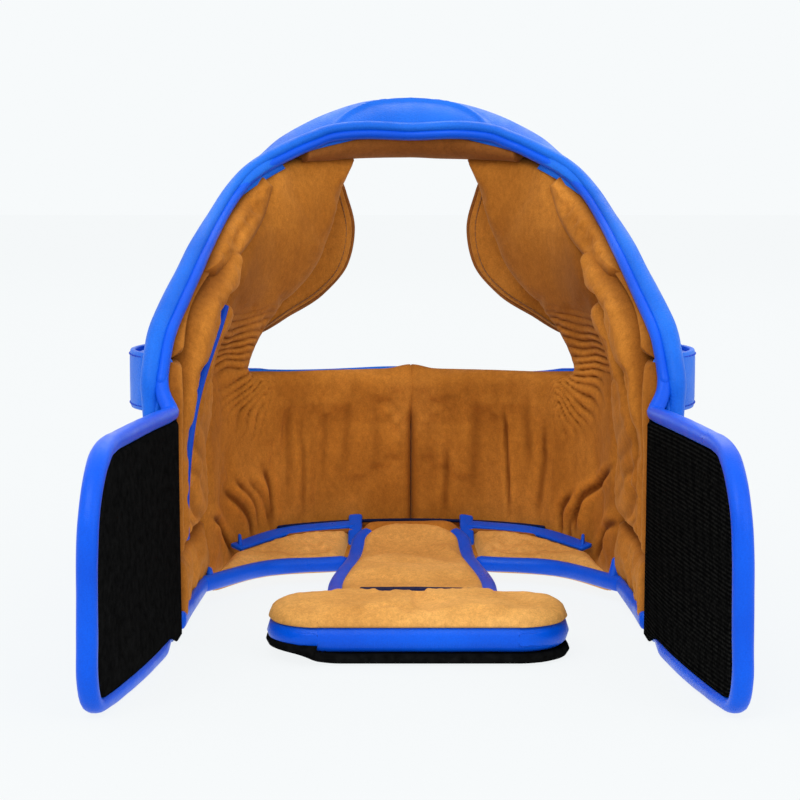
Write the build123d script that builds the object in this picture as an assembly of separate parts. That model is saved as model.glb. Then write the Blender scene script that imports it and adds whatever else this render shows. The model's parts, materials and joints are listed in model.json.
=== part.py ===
"""Boxing headgear, standing on its crown with the chin bar uppermost and the rear closure open.

Frame, in millimetres: +X to the right when seen from behind, +Y out through the face opening, +Z from
the crown towards the chin. The parts are drawn about the head's own axis and moved along Y at the end,
so that the origin is at the middle of the whole headgear's footprint, on the surface that it stands on.
The right-hand half is modelled and the left-hand half is its mirror image.

Every wall is built in layers from its inner face outwards: suede lining, foam core, leather shell.
"""

import os
from math import cos, exp, pi, radians, sin

from build123d import *

os.makedirs("parts", exist_ok=True)

# ---- driving dimensions ------------------------------------------------------------------------
HALF_WIDTH = 100.0  # inner half width at the ears, with the closure open
HEAD_CENTRE_Y = 10.0  # centre of the ellipse that the forehead follows
FOREHEAD_REACH = 80.0  # from that centre to the forehead's inner face
FOREHEAD_LOW, FOREHEAD_HIGH = 0.0, 103.0  # crown edge and brow edge of the forehead
FOREHEAD_THICK, TEMPLE_THICK = 27.0, 16.0
SIDE_THICK = 14.0
CHEEK_THICK_REAR, CHEEK_THICK_FRONT = 15.0, 27.0
LINING = 2.0  # suede
SHELL = 2.0  # leather
SKIN_GAP = 0.5  # between a skin and the foam behind it
BINDING_BULGE = 5.0  # how far a rolled edge stands out of the panel's edge
BINDING_LIP = 0.8  # how far it laps over each face
TEMPLE_ANGLE = 52.0  # where the forehead core ends and the temple cores begin, degrees

HINGE_X, HINGE_Y = 101.0, -85.0  # wing hinge, on the side wall's inner face
WING_SPLAY = 6.5  # degrees outwards when open
WING_LENGTH, WING_HEIGHT = 141.0, 102.0
WING_THICK, WING_PATCH = 8.0, 1.6
WING_TOP_CORNER, WING_LOW_CORNER = 34.0, 16.0
WING_BINDING = 8.0

TONGUE_HALF, TONGUE_TOP, TONGUE_LOW = 33.0, 14.0, 3.0
TONGUE_HINGE_Y, TPAD_HINGE_Y = 45.0, -83.0
TPAD_WIDTH, TPAD_DEPTH, TPAD_HEIGHT = 123.0, 51.0, 20.5
TPAD_LOOP_HIGH, TPAD_BODY_HIGH = 2.6, 14.5  # tops of its touch fastener and of its foam
HINGE_GAP = 0.4  # clearance each side of a flexible fold

SLIT_MIDDLE, SLIT_LENGTH, SLIT_HALF = 0.38, 0.17, 0.03  # ear slit in the lining, as shares of the panel
SLIT_LOW_AT, SLIT_HIGH_AT = 0.57, 0.78  # where the slit lies along a row, below and above the ear
EAR_HOLE_LENGTH, EAR_HOLE_WIDTH, EAR_HOLE_LEAN = 62.0, 10.0, 20.0  # in the leather; its lean is in degrees
EAR_HOLE_Y, EAR_HOLE_Z = -27.0, 78.0
BROW_BINDING_ANGLE = 47.0  # how far round the forehead the brow's rolled edge runs
GUSSET_ANGLE = 48.0  # how far round the forehead the crown's web runs
STRAP_LOW, STRAP_HIGH, STRAP_THICK, STRAP_STANDS_OFF = 95.0, 125.0, 2.4, 7.5
PROTECTOR_LEAN = 0.55  # how far the cheek protectors turn from the cheek's line into the face opening
FOOTPRINT_SHIFT = 42.42  # from the head's axis to the middle of the footprint

# Points on the inner face of the right half. Rows run upwards; each row runs from rear to front.
SIDE_POINTS = [
    [(101, -81, 3), (103, -42, 5), (99, 8, 7)],
    [(101, -81, 52), (104, -48, 50), (100, 8, 55)],
    [(101, -81, 102), (102, -46, 98), (98, 10, 104)],
    [(104, -58, 131), (97, -24, 133), (93, 13, 131)],
    [(95, -18, 157), (91, 1, 158), (87, 20, 157)],
    [(87, 26, 181), (85, 31, 182), (82, 36, 183)],
]
CHEEK_POINTS = [
    [(98, 11.5, 105), (93, 41, 106), (77, 64, 107)],
    [(94, 14, 127), (86, 52, 128), (66, 88, 128)],
    [(89, 19, 150), (76, 66, 150), (50, 104, 149)],
    [(84, 32, 175), (66, 73, 176), (37, 107, 178)],
    [(66, 64, 204), (48, 85, 205), (24, 101, 204)],
]
CHEEK_SPANS = ((0.03, 1.0), (0.03, 0.94))  # the part of that surface that the cheek pad covers
# The crown panel's upper face. Rows run from its front edge to its rear edge, each from the middle out.
CROWN_POINTS = [
    [(36, 75, 20), (64, 62, 19), (87, 36, 16)],
    [(36, 57, 16), (68, 45, 15), (92, 18, 13)],
    [(36, 39, 12.5), (70, 27, 12.5), (96, -6, 12)],
]
CROWN_THICK = 11.0
BODY_CENTRE = Vector(0, 0, 110)  # every wall faces away from this point


# ---- surfaces ----------------------------------------------------------------------------------
def catmull_rom(points, t):
    """A smooth curve through evenly spaced values, at t from 0 to 1 and a little beyond."""
    spans = len(points) - 1
    index = min(max(int(t * spans), 0), spans - 1)
    u = t * spans - index
    p1, p2 = points[index], points[index + 1]
    p0 = points[index - 1] if index > 0 else p1 * 2 - p2
    p3 = points[index + 2] if index + 2 <= spans else p2 * 2 - p1
    return (
        p1 * 2
        + (p2 - p0) * u
        + (p0 * 2 - p1 * 5 + p2 * 4 - p3) * u**2
        + (p1 * 3 - p0 - p2 * 3 + p3) * u**3
    ) * 0.5


def patch(grid):
    """The surface through a grid of points: a runs along a row, b from row to row, both 0 to 1."""
    rows = [[Vector(*p) for p in row] for row in grid]
    return lambda a, b: catmull_rom([catmull_rom(row, a) for row in rows], b)


def forehead(a, b):
    """Inner face of the forehead and temples: a from the left temple to the right, b upwards."""
    angle = pi * (a - 0.5)
    return Vector(
        HALF_WIDTH * sin(angle),
        HEAD_CENTRE_Y + FOREHEAD_REACH * cos(angle),
        FOREHEAD_LOW + (FOREHEAD_HIGH - FOREHEAD_LOW) * b,
    )


def at_angle(degrees):
    """The forehead's a for an angle from straight ahead, positive to the right."""
    return 0.5 + degrees / 180


def normal(surface, a, b):
    """Unit vector out of the wall, away from the head."""
    step = 1e-3
    along = surface(a + step, b) - surface(a - step, b)
    up = surface(a, b + step) - surface(a, b - step)
    found = along.cross(up).normalized()
    return found if found.dot(surface(a, b) - BODY_CENTRE) > 0 else found * -1


def spaced(span, count):
    """Evenly spaced values from one end of a span to the other."""
    return [span[0] + (span[1] - span[0]) * i / (count - 1) for i in range(count)]


def value(depth, a, b):
    """A depth that may be a number or a function of the place on the surface."""
    return depth(a, b) if callable(depth) else depth


def layer(surface, inner, outer, a_span=(0, 1), b_span=(0, 1), rows=6, columns=7):
    """A closed solid between two depths behind a surface, lofted through one section for each row.

    Either end of a_span may be a function of b, so that the layer has a curved edge.
    """
    sections, caps = [], []
    for row, b in enumerate(spaced(b_span, rows)):
        ends = [value(end, 0, b) for end in a_span]
        near, far = [], []
        for a in spaced(ends, columns):
            point, out = surface(a, b), normal(surface, a, b)
            near.append(point + out * value(inner, a, b))
            far.append(point + out * value(outer, a, b))
        sections.append(four_sided(near, far))
        if row in (0, rows - 1):
            caps.append(Face.make_surface_from_curves(Edge.make_spline(near), Edge.make_spline(far)))
    return closed(sections, caps)


def four_sided(near, far):
    """A closed wire: a curve through the near points, and back through the far ones."""
    return Wire(
        [
            Edge.make_spline(near),
            Edge.make_line(near[-1], far[-1]),
            Edge.make_spline(far[::-1]),
            Edge.make_line(far[0], near[0]),
        ]
    )


def closed(sections, caps):
    """A solid lofted through sections that don't lie in planes, closed by a face at each end."""
    skin = Shell.make_loft(sections)
    solid = Solid(Shell([*skin.faces(), *caps]))
    return solid if solid.volume > 0 else Solid(Shell([*skin.faces(), *caps]).reversed())


def edge_stations(surface, side, inner, outer, span=(0, 1), count=9):
    """Places along one side of a surface: (point, outward normal, way out of the panel, depths)."""
    places = []
    for t in spaced(span, count):
        a, b = {"top": (t, 1), "low": (t, 0), "rear": (0, t), "front": (1, t)}[side]
        step = 1e-3
        if side in ("top", "low"):
            tangent = surface(a + step, b) - surface(a - step, b)
        else:
            tangent = surface(a, b + step) - surface(a, b - step)
        out = normal(surface, a, b)
        away = out.cross(tangent).normalized()
        if away.dot(surface(a, b) - surface(0.5, 0.5)) < 0:
            away = away * -1
        places.append((surface(a, b), out, away, value(inner, a, b), value(outer, a, b)))
    return places


def bead(places, bulge=BINDING_BULGE, lip=BINDING_LIP, gap=0.8, lean=0.0):
    """A rolled leather edge: a half-round strip lofted along places on a panel's edge.

    It bulges straight out of the edge, or turned by lean towards the panel's inner side.
    """
    sections = []
    for index, (point, out, away, inner, outer) in enumerate(places):
        width = value(bulge, 0, index / (len(places) - 1))
        start = point + out * (inner - lip) + away * gap
        end = point + out * (outer + lip) + away * gap
        middle = (start + end) * 0.5 + (away - out * lean).normalized() * width
        sections.append(Wire([Edge.make_three_point_arc(start, middle, end), Edge.make_line(end, start)]))
    return Solid.make_loft(sections)


def slab(outline, low, high, plane=Plane.XY):
    """A sketch extruded between two heights above a plane."""
    return extrude(plane.offset(low) * outline, high - low)


# ---- wall thicknesses ---------------------------------------------------------------------------
def forehead_depth(a, b):
    """Thick in the middle of the forehead and thinner at the temples."""
    share = cos(pi * (a - 0.5)) ** 1.5 if 0 < a < 1 else 0
    return TEMPLE_THICK + (FOREHEAD_THICK - TEMPLE_THICK) * share


def cheek_depth(a, b):
    return CHEEK_THICK_REAR + (CHEEK_THICK_FRONT - CHEEK_THICK_REAR) * a * (1 - 0.45 * b)


def less(depth, amount):
    """A depth function, less an amount."""
    return lambda a, b: value(depth, a, b) - amount


def wall(surface, depth, spans, **counts):
    """The three layers of one wall: lining, foam core and shell."""
    lining = layer(surface, 0, LINING, *spans, **counts)
    core = layer(surface, LINING + SKIN_GAP, less(depth, SHELL + SKIN_GAP), *spans, **counts)
    shell = layer(surface, less(depth, SHELL), depth, *spans, **counts)
    return lining, core, shell


nodes = {}


def both_sides(name, shape):
    """Adds the right-hand piece and its mirror image."""
    nodes[name + "_right"] = shape
    nodes[name + "_left"] = mirror(shape, about=Plane.YZ)


# ---- forehead and temples -----------------------------------------------------------------------
def build_forehead():
    seam = 0.002  # half the gap at the centre seam, as a share of the arc
    ends = (at_angle(-TEMPLE_ANGLE), at_angle(TEMPLE_ANGLE))
    temple = (at_angle(TEMPLE_ANGLE) + 0.002, 0.995)
    full = (0.005, 0.995)
    _, nodes["forehead_foam"], _ = wall(forehead, forehead_depth, (ends, (0, 1)), rows=4, columns=13)
    _, _, nodes["forehead_shell"] = wall(forehead, forehead_depth, (full, (0, 1)), rows=4, columns=19)
    lining = layer(forehead, 0, LINING, (0.5 + seam, ends[1]), (0, 1), rows=4)
    nodes["forehead_lining_right"] = lining
    nodes["forehead_lining_left"] = mirror(lining, about=Plane.YZ)
    temple_lining, temple_core, _ = wall(forehead, forehead_depth, (temple, (0, 1)), rows=4)
    both_sides("temple_lining", temple_lining)
    both_sides("temple_foam", temple_core)
    brow_end = at_angle(BROW_BINDING_ANGLE)
    brow = edge_stations(forehead, "top", 0, forehead_depth, (1 - brow_end, brow_end), 15)
    nodes["brow_binding"] = bead(brow, bulge=3.0)


# ---- sides, with the ear slit -------------------------------------------------------------------
def slit_half(b):
    """Half the slit's width as a share of the panel, nearly closed above and below the ear."""
    return 0.006 + SLIT_HALF * exp(-(((b - SLIT_MIDDLE) / SLIT_LENGTH) ** 2))


def slit_at(b):
    """The slit leans forward as it rises."""
    rise = min(max((b - 0.15) / 0.5, 0), 1)
    return SLIT_LOW_AT + (SLIT_HIGH_AT - SLIT_LOW_AT) * (1 - cos(pi * rise)) / 2


def build_sides():
    side = patch(SIDE_POINTS)
    rows = (0, 0.985)
    rear = ((0.0, lambda a, b: slit_at(b) - slit_half(b)), rows)
    front = ((lambda a, b: slit_at(b) + slit_half(b), 0.99), rows)
    rear_lining, rear_core, _ = wall(side, SIDE_THICK, rear, rows=11, columns=5)
    front_lining, front_core, _ = wall(side, SIDE_THICK, front, rows=11, columns=5)
    shell = layer(side, SIDE_THICK - SHELL, SIDE_THICK, (0, 0.99), rows, rows=11)
    ear_hole = slab(SlotOverall(EAR_HOLE_LENGTH, EAR_HOLE_WIDTH), HALF_WIDTH - 10, HALF_WIDTH + 40, Plane.YZ)
    ear_hole = Pos(0, EAR_HOLE_Y, EAR_HOLE_Z) * Rot(X=90 - EAR_HOLE_LEAN) * ear_hole
    both_sides("side_shell", shell - ear_hole)
    both_sides("ear_pad_rear_lining", rear_lining)
    both_sides("ear_pad_rear_foam", rear_core)
    both_sides("ear_pad_front_lining", front_lining)
    both_sides("ear_pad_front_foam", front_core)
    return side


# ---- ear bridge strap ---------------------------------------------------------------------------
def build_ear_bridge():
    """A leather strap, standing off the side wall, that crosses the ear hole."""
    inner = [(118.6, -68), (119.5, -60), (118 + STRAP_STANDS_OFF, -38), (116.0, -10), (114.5, -2)]
    start, end = Vector(*inner[0]), Vector(*inner[-1])
    path = Edge.make_spline([Vector(x, y, 0) for x, y in inner])
    outer = Edge.make_spline([Vector(x + STRAP_THICK, y, 0) for x, y in inner])
    shift = Vector(STRAP_THICK, 0, 0)
    section = Wire([path, Edge.make_line(end, end + shift), outer, Edge.make_line(start + shift, start)])
    strap = extrude(Pos(0, 0, STRAP_LOW) * Face(section), STRAP_HIGH - STRAP_LOW, dir=(0, 0, 1))
    both_sides("ear_bridge_strap", strap)


# ---- cheeks -------------------------------------------------------------------------------------
def protector_bulge(a, t):
    """The cheek protector stands furthest into the face opening at mid height."""
    return 2.0 + 20.0 * exp(-(((t - 0.54) / 0.26) ** 2))


def build_cheeks():
    cheek = patch(CHEEK_POINTS)
    lining, core, shell = wall(cheek, cheek_depth, CHEEK_SPANS, rows=8)
    both_sides("cheek_lining", lining)
    both_sides("cheek_foam", core)
    both_sides("cheek_shell", shell)
    places = edge_stations(cheek, "front", 4.0, cheek_depth, (0.06, 0.90), 11)
    both_sides("cheek_protector", bead(places, protector_bulge, lip=0, gap=2.0, lean=PROTECTOR_LEAN))
    return cheek


# ---- chin bar -----------------------------------------------------------------------------------
CHIN_POINTS = [  # along the bar from the middle outwards: centre of its section, then half sizes
    (0, 120, 224.6, 21, 13.7),
    (22, 117, 224, 20.5, 13.2),
    (42, 106, 220.5, 18.5, 11.5),
    (60, 86, 213.5, 14, 8.5),
]
CHIN_LEAN = radians(18)  # the bar's section leans up towards the front


def chin_section(t, inset=0.0):
    """The bar's half sizes and centre at t from -1 to 1 along it, as a function of the angle round it."""
    row = catmull_rom([Vector(*p[:3]) for p in CHIN_POINTS], abs(t))
    half = catmull_rom([Vector(p[3], p[4], 0) for p in CHIN_POINTS], abs(t))
    centre = Vector(row.X if t >= 0 else -row.X, row.Y, row.Z)
    turn = 0.62 * t  # the section turns to stay square to the bar
    forward = Vector(sin(turn), cos(turn), 0)

    def at(angle):
        u, v = (half.X - inset) * cos(angle), (half.Y - inset) * sin(angle)
        flat, up = u * cos(CHIN_LEAN) - v * sin(CHIN_LEAN), u * sin(CHIN_LEAN) + v * cos(CHIN_LEAN)
        return centre + forward * flat + Vector(0, 0, up)

    return at


def chin_skin(start, end, outer_inset, inner_inset, count=9):
    """Part of the bar's skin, between two angles round the section."""
    sections = []
    for t in spaced((-1, 1), 11):
        outside, inside = chin_section(t, outer_inset), chin_section(t, inner_inset)
        angles = [radians(x) for x in spaced((start, end), count)]
        far, near = [outside(x) for x in angles], [inside(x) for x in angles[::-1]]
        sections.append(
            Wire(
                [
                    Edge.make_spline(far),
                    Edge.make_line(far[-1], near[0]),
                    Edge.make_spline(near),
                    Edge.make_line(near[-1], far[0]),
                ]
            )
        )
    return Solid.make_loft(sections)


def build_chin():
    sections = []
    for t in spaced((-1, 1), 11):
        at = chin_section(t, LINING + SKIN_GAP)
        over = [at(pi * i / 6) for i in range(7)]
        under = [at(pi + pi * i / 6) for i in range(6)] + [over[0]]
        sections.append(Wire([Edge.make_spline(over), Edge.make_spline([over[-1]] + under[1:])]))
    nodes["chin_foam"] = Solid.make_loft(sections)
    nodes["chin_shell"] = chin_skin(-49, 178, 0, LINING)
    nodes["chin_lining"] = chin_skin(182, 309, 0, LINING)


# ---- rolled edge along the jaw ------------------------------------------------------------------
def build_jaw_binding(side, cheek):
    """One rolled edge from the wing hinge up the side wall and along the cheek to the chin bar."""
    up_side = edge_stations(side, "rear", 0, SIDE_THICK, (0.49, 0.97), 9)
    up_cheek = edge_stations(cheek, "rear", 0, cheek_depth, (0.83, 0.985), 3)
    both_sides("jaw_binding", bead(up_side + up_cheek, gap=2.4))


# ---- crown --------------------------------------------------------------------------------------
def build_crown():
    crown = patch(CROWN_POINTS)
    both_sides("crown_lining", layer(crown, 0, LINING, rows=5))
    both_sides("crown_panel", layer(crown, LINING + SKIN_GAP, CROWN_THICK, rows=5))
    rear = edge_stations(crown, "top", 0, CROWN_THICK, (0, 1), 9)
    front = edge_stations(crown, "low", 0, CROWN_THICK - 2, (0, 1), 9)
    both_sides("crown_rear_binding", bead(rear, lip=0.4))
    both_sides("crown_front_binding", bead(front, bulge=2.6, lip=0.4))
    gusset_in, gusset_out, gusset_low, gusset_high = -2.6, -0.6, 4.0, 14.0
    span = (at_angle(-GUSSET_ANGLE), at_angle(GUSSET_ANGLE))
    heights = [(z - FOREHEAD_LOW) / (FOREHEAD_HIGH - FOREHEAD_LOW) for z in (gusset_low, gusset_high)]
    nodes["crown_gusset"] = layer(forehead, gusset_in, gusset_out, span, heights, rows=3, columns=13)
    front_y, rise = 76.0, 6.0
    side_view = Polyline(
        (TONGUE_HINGE_Y + HINGE_GAP, TONGUE_LOW),
        (front_y, TONGUE_LOW + rise),
        (front_y, TONGUE_TOP + rise),
        (TONGUE_HINGE_Y + HINGE_GAP, TONGUE_TOP),
        close=True,
    )
    half = TONGUE_HALF - 3
    pad = extrude(Plane.YZ.offset(-half) * make_face(side_view), 2 * half)
    nodes["crown_centre_pad"] = fillet(pad.edges().filter_by(Axis.Z).group_by(Axis.Y)[-1], 12)
    tab = Box(9, 15, 2.2)
    both_sides("crown_tab", Pos(27, 74.5, 23.2) * Rot(X=8) * tab)


# ---- tongue and T-pad ---------------------------------------------------------------------------
def build_tongue():
    rear, front = TPAD_HINGE_Y + HINGE_GAP, TONGUE_HINGE_Y - HINGE_GAP
    length, middle = front - rear, (front + rear) / 2
    edge = 5.0
    core = Pos(0, middle) * Rectangle(2 * (TONGUE_HALF - edge) - 0.6, length)
    nodes["tongue_foam"] = slab(core, TONGUE_LOW, TONGUE_TOP - LINING - SKIN_GAP)
    nodes["tongue_lining"] = slab(core, TONGUE_TOP - LINING, TONGUE_TOP)
    for side, name in ((1, "right"), (-1, "left")):
        strip = Pos(side * (TONGUE_HALF - edge / 2), middle) * Rectangle(edge, length)
        piece = slab(strip, TONGUE_LOW - 0.6, TONGUE_TOP)
        outer = piece.edges().filter_by(Axis.Y).sort_by(Axis.X)
        nodes["tongue_binding_" + name] = fillet(outer[-2:] if side > 0 else outer[:2], 2.2)


def build_tpad():
    middle = TPAD_HINGE_Y - HINGE_GAP - TPAD_DEPTH / 2
    outline = Pos(0, middle) * SlotOverall(TPAD_WIDTH, TPAD_DEPTH)
    inset = Pos(0, middle) * SlotOverall(TPAD_WIDTH - 3, TPAD_DEPTH - 3)
    nodes["t_pad_loop"] = slab(outline, 0, TPAD_LOOP_HIGH)
    nodes["t_pad_body"] = slab(inset, TPAD_LOOP_HIGH + SKIN_GAP, TPAD_BODY_HIGH)
    cushion = slab(outline, TPAD_BODY_HIGH + SKIN_GAP, TPAD_HEIGHT)
    nodes["t_pad_cushion"] = fillet(cushion.faces().sort_by(Axis.Z)[-1].edges(), 4.5)


# ---- rear wings ---------------------------------------------------------------------------------
def wing_outline(inset):
    """The wing's outline in its own plane: x away from the hinge, y up."""
    left, right = 0.5 + inset * 0.12, WING_LENGTH - inset
    low, high = inset, WING_HEIGHT - inset
    corner = max(WING_TOP_CORNER - inset, 4)
    low_corner = max(WING_LOW_CORNER - inset, 3)
    face = Pos((left + right) / 2, (low + high) / 2) * Rectangle(right - left, high - low)
    points = face.vertices().sort_by(Axis.X)[-2:].sort_by(Axis.Y)
    face = fillet(points[1], corner)
    points = face.vertices().filter_by(lambda v: v.X > right - 1 and v.Y < low + 1)
    return fillet(points, low_corner)


def build_wings():
    """A flat padded flap: a leather-covered core, a touch-fastener patch inside and a rolled rim."""
    splay = radians(WING_SPLAY)
    plane = Plane(  # on the wing's inner face; it looks in towards the head
        origin=(HINGE_X, HINGE_Y, 0),
        x_dir=(sin(splay), -cos(splay), 0),
        z_dir=(-cos(splay), -sin(splay), 0),
    )
    rim = WING_BINDING - 3

    def between(low, high, outline):
        """The outline as a solid between two depths behind the inner face."""
        return slab(outline, -high, -low, plane)

    core = wing_outline(rim)
    both_sides("wing_shell", between(WING_PATCH + SKIN_GAP, WING_THICK, core))
    both_sides("wing_patch", between(0, WING_PATCH, core))
    ring = wing_outline(0) - wing_outline(rim - 0.3)
    binding = between(-0.8, WING_THICK + 0.8, ring)
    both_sides("wing_binding", binding)


build_forehead()
side_surface = build_sides()
build_ear_bridge()
cheek_surface = build_cheeks()
build_chin()
build_jaw_binding(side_surface, cheek_surface)
build_crown()
build_tongue()
build_tpad()
build_wings()

for node_name, shape in nodes.items():
    export_step(Pos(0, FOOTPRINT_SHIFT, 0) * shape, f"parts/{node_name}.step")
reach = Compound(children=list(nodes.values())).bounding_box()
print(len(nodes), "nodes, footprint middle at y =", (reach.min.Y + reach.max.Y) / 2, reach.min, reach.max)
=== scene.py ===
"""Boxing headgear standing on its crown, chin bar uppermost, with its rear closure open.

Shapes are worked out in millimetres about the head's own axis: +X to the right seen from behind, +Y out
through the face opening, +Z up from the crown. piece() turns them into metres in the row frame.
"""
import itertools
import json
import math

import bmesh
import bpy
import numpy as np
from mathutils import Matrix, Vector, kdtree

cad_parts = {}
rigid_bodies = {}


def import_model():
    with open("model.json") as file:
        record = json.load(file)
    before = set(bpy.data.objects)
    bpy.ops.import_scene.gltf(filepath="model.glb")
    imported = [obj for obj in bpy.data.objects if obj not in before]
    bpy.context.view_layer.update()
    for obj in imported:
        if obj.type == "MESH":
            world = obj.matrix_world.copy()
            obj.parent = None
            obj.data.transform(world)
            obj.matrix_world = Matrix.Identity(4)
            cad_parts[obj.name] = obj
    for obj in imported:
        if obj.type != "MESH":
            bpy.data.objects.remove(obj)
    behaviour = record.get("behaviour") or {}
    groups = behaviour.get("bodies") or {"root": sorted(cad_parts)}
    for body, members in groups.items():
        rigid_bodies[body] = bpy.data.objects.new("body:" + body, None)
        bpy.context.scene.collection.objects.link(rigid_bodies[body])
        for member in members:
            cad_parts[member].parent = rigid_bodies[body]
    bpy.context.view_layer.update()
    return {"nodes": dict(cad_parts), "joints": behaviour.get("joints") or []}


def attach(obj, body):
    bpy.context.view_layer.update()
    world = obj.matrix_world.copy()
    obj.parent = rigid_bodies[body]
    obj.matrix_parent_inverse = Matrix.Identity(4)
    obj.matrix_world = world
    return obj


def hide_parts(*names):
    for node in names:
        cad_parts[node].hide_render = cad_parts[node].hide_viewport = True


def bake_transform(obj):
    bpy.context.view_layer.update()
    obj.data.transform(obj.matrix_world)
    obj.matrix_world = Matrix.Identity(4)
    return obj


for leftover in list(bpy.data.objects):
    bpy.data.objects.remove(leftover)
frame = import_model()

MM = 0.001
HINGE_X, HINGE_Y = 101.0, -85.0  # wing hinge, on the side wall's inner face
JOINT_POS = {joint["name"]: joint["pos_m"] for joint in frame["joints"]}
SHIFT = JOINT_POS["right_wing_fold"][1] / MM - HINGE_Y  # along Y, from the head's axis to the row's origin
BODY_CENTRE = np.array([0.0, 0.0, 110.0])  # every wall faces away from this point


# ---- arithmetic
def spline(points, t):
    """A smooth curve through points spaced one apart, at each t. With three axes, one curve for each t."""
    points = np.asarray(points, float)
    padded = np.concatenate([points[:1] * 2 - points[1:2], points, points[-1:] * 2 - points[-2:-1]])
    index = np.clip(np.floor(t).astype(int), 0, len(points) - 2)
    u = (t - index)[:, None]
    lane = (np.arange(len(t)),) if points.ndim == 3 else ()
    p0, p1, p2, p3 = (padded[(index + step, *lane)] for step in range(4))
    return 0.5 * (
        2 * p1 + (p2 - p0) * u + (2 * p0 - 5 * p1 + 4 * p2 - p3) * u**2 + (3 * p1 - p0 - 3 * p2 + p3) * u**3
    )


def surface(grid):
    """The surface through rows of points, at (a, b) counted in points along a row and in rows."""
    rows = [np.array(row, float) for row in grid]
    return lambda a, b: spline(np.stack([spline(row, a) for row in rows]), b)


def unit(vectors):
    return vectors / np.maximum(np.linalg.norm(vectors, axis=-1, keepdims=True), 1e-9)


def tree_of(points):
    """A search tree over points, numbered in their order."""
    tree = kdtree.KDTree(len(points))
    for number, point in enumerate(points):
        tree.insert(point, number)
    tree.balance()
    return tree


def normals(at, a, b, step=0.01):
    """Unit vectors out of the wall, away from the head."""
    along = at(a + step, b) - at(a - step, b)
    up = at(a, b + step) - at(a, b - step)
    found = unit(np.cross(along, up))
    facing = np.sum(found * (at(a, b) - BODY_CENTRE), axis=1)
    return found * np.where(facing < 0, -1.0, 1.0)[:, None]


def smooth(low, high, x):
    """0 below low, 1 above high, and a smooth step between them."""
    t = np.clip((x - low) / (high - low), 0, 1)
    return t * t * (3 - 2 * t)


def lattice(cell, seed):
    """A repeatable random number from -1 to 1 for each whole-number cell."""
    mixed = cell[:, 0] * 73856093 ^ cell[:, 1] * 19349663 ^ cell[:, 2] * 83492791 ^ (seed + 1) * 2654435761
    mixed = (mixed ^ (mixed >> 13)) * 1274126177 & 0xFFFFFFFF
    mixed = (mixed ^ (mixed >> 15)) * 2246822519 & 0xFFFFFFFF
    return (mixed ^ (mixed >> 16)) / 0x7FFFFFFF - 1.0


def noise(points, size, seed=0):
    """Smooth noise from -1 to 1. Size is one number, or three for a stretched grain."""
    q = points / np.asarray(size, float)
    base = np.floor(q).astype(np.int64)
    f = q - base
    f = f * f * (3 - 2 * f)
    total = np.zeros(len(points))
    for corner in itertools.product((0, 1), repeat=3):
        weight = np.prod(np.where(np.array(corner) == 1, f, 1 - f), axis=1)
        total += weight * lattice(base + np.array(corner), seed)
    return total


def value(number, *where):
    """A number, or what a function gives there."""
    return number(*where) if callable(number) else number


def resample(points, spacing):
    """Evenly spaced points on a smooth curve through the given ones."""
    points = np.asarray(points, float)
    fine = spline(points, np.linspace(0, len(points) - 1, 40 * len(points)))
    run = np.concatenate([[0], np.cumsum(np.linalg.norm(np.diff(fine, axis=0), axis=1))])
    stations = np.linspace(0, run[-1], max(int(run[-1] / spacing), 3))
    return np.stack([np.interp(stations, run, fine[:, axis]) for axis in range(3)], axis=1)


def crease(points, path, width, depth):
    """A sewn-in or folded valley along a path, with a low roll each side: height at each point."""
    nearest, share = np.full(len(points), 1e9), np.zeros(len(points))
    path = resample(path, 3.0)
    for index, (start, end) in enumerate(zip(path[:-1], path[1:])):
        run = end - start
        t = np.clip(((points - start) @ run) / max(run @ run, 1e-9), 0, 1)
        away = np.linalg.norm(points - start - t[:, None] * run, axis=1)
        closer = away < nearest
        nearest = np.where(closer, away, nearest)
        share = np.where(closer, (index + t) / (len(path) - 1), share)
    fade = np.clip(np.sin(np.pi * np.clip(share, 0.04, 0.96)) * 1.6, 0, 1)
    valley = -np.exp(-((nearest / width) ** 2))
    roll = 0.45 * np.exp(-(((nearest - 2.1 * width) / (1.3 * width)) ** 2))
    return depth * fade * (valley + roll)


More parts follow.
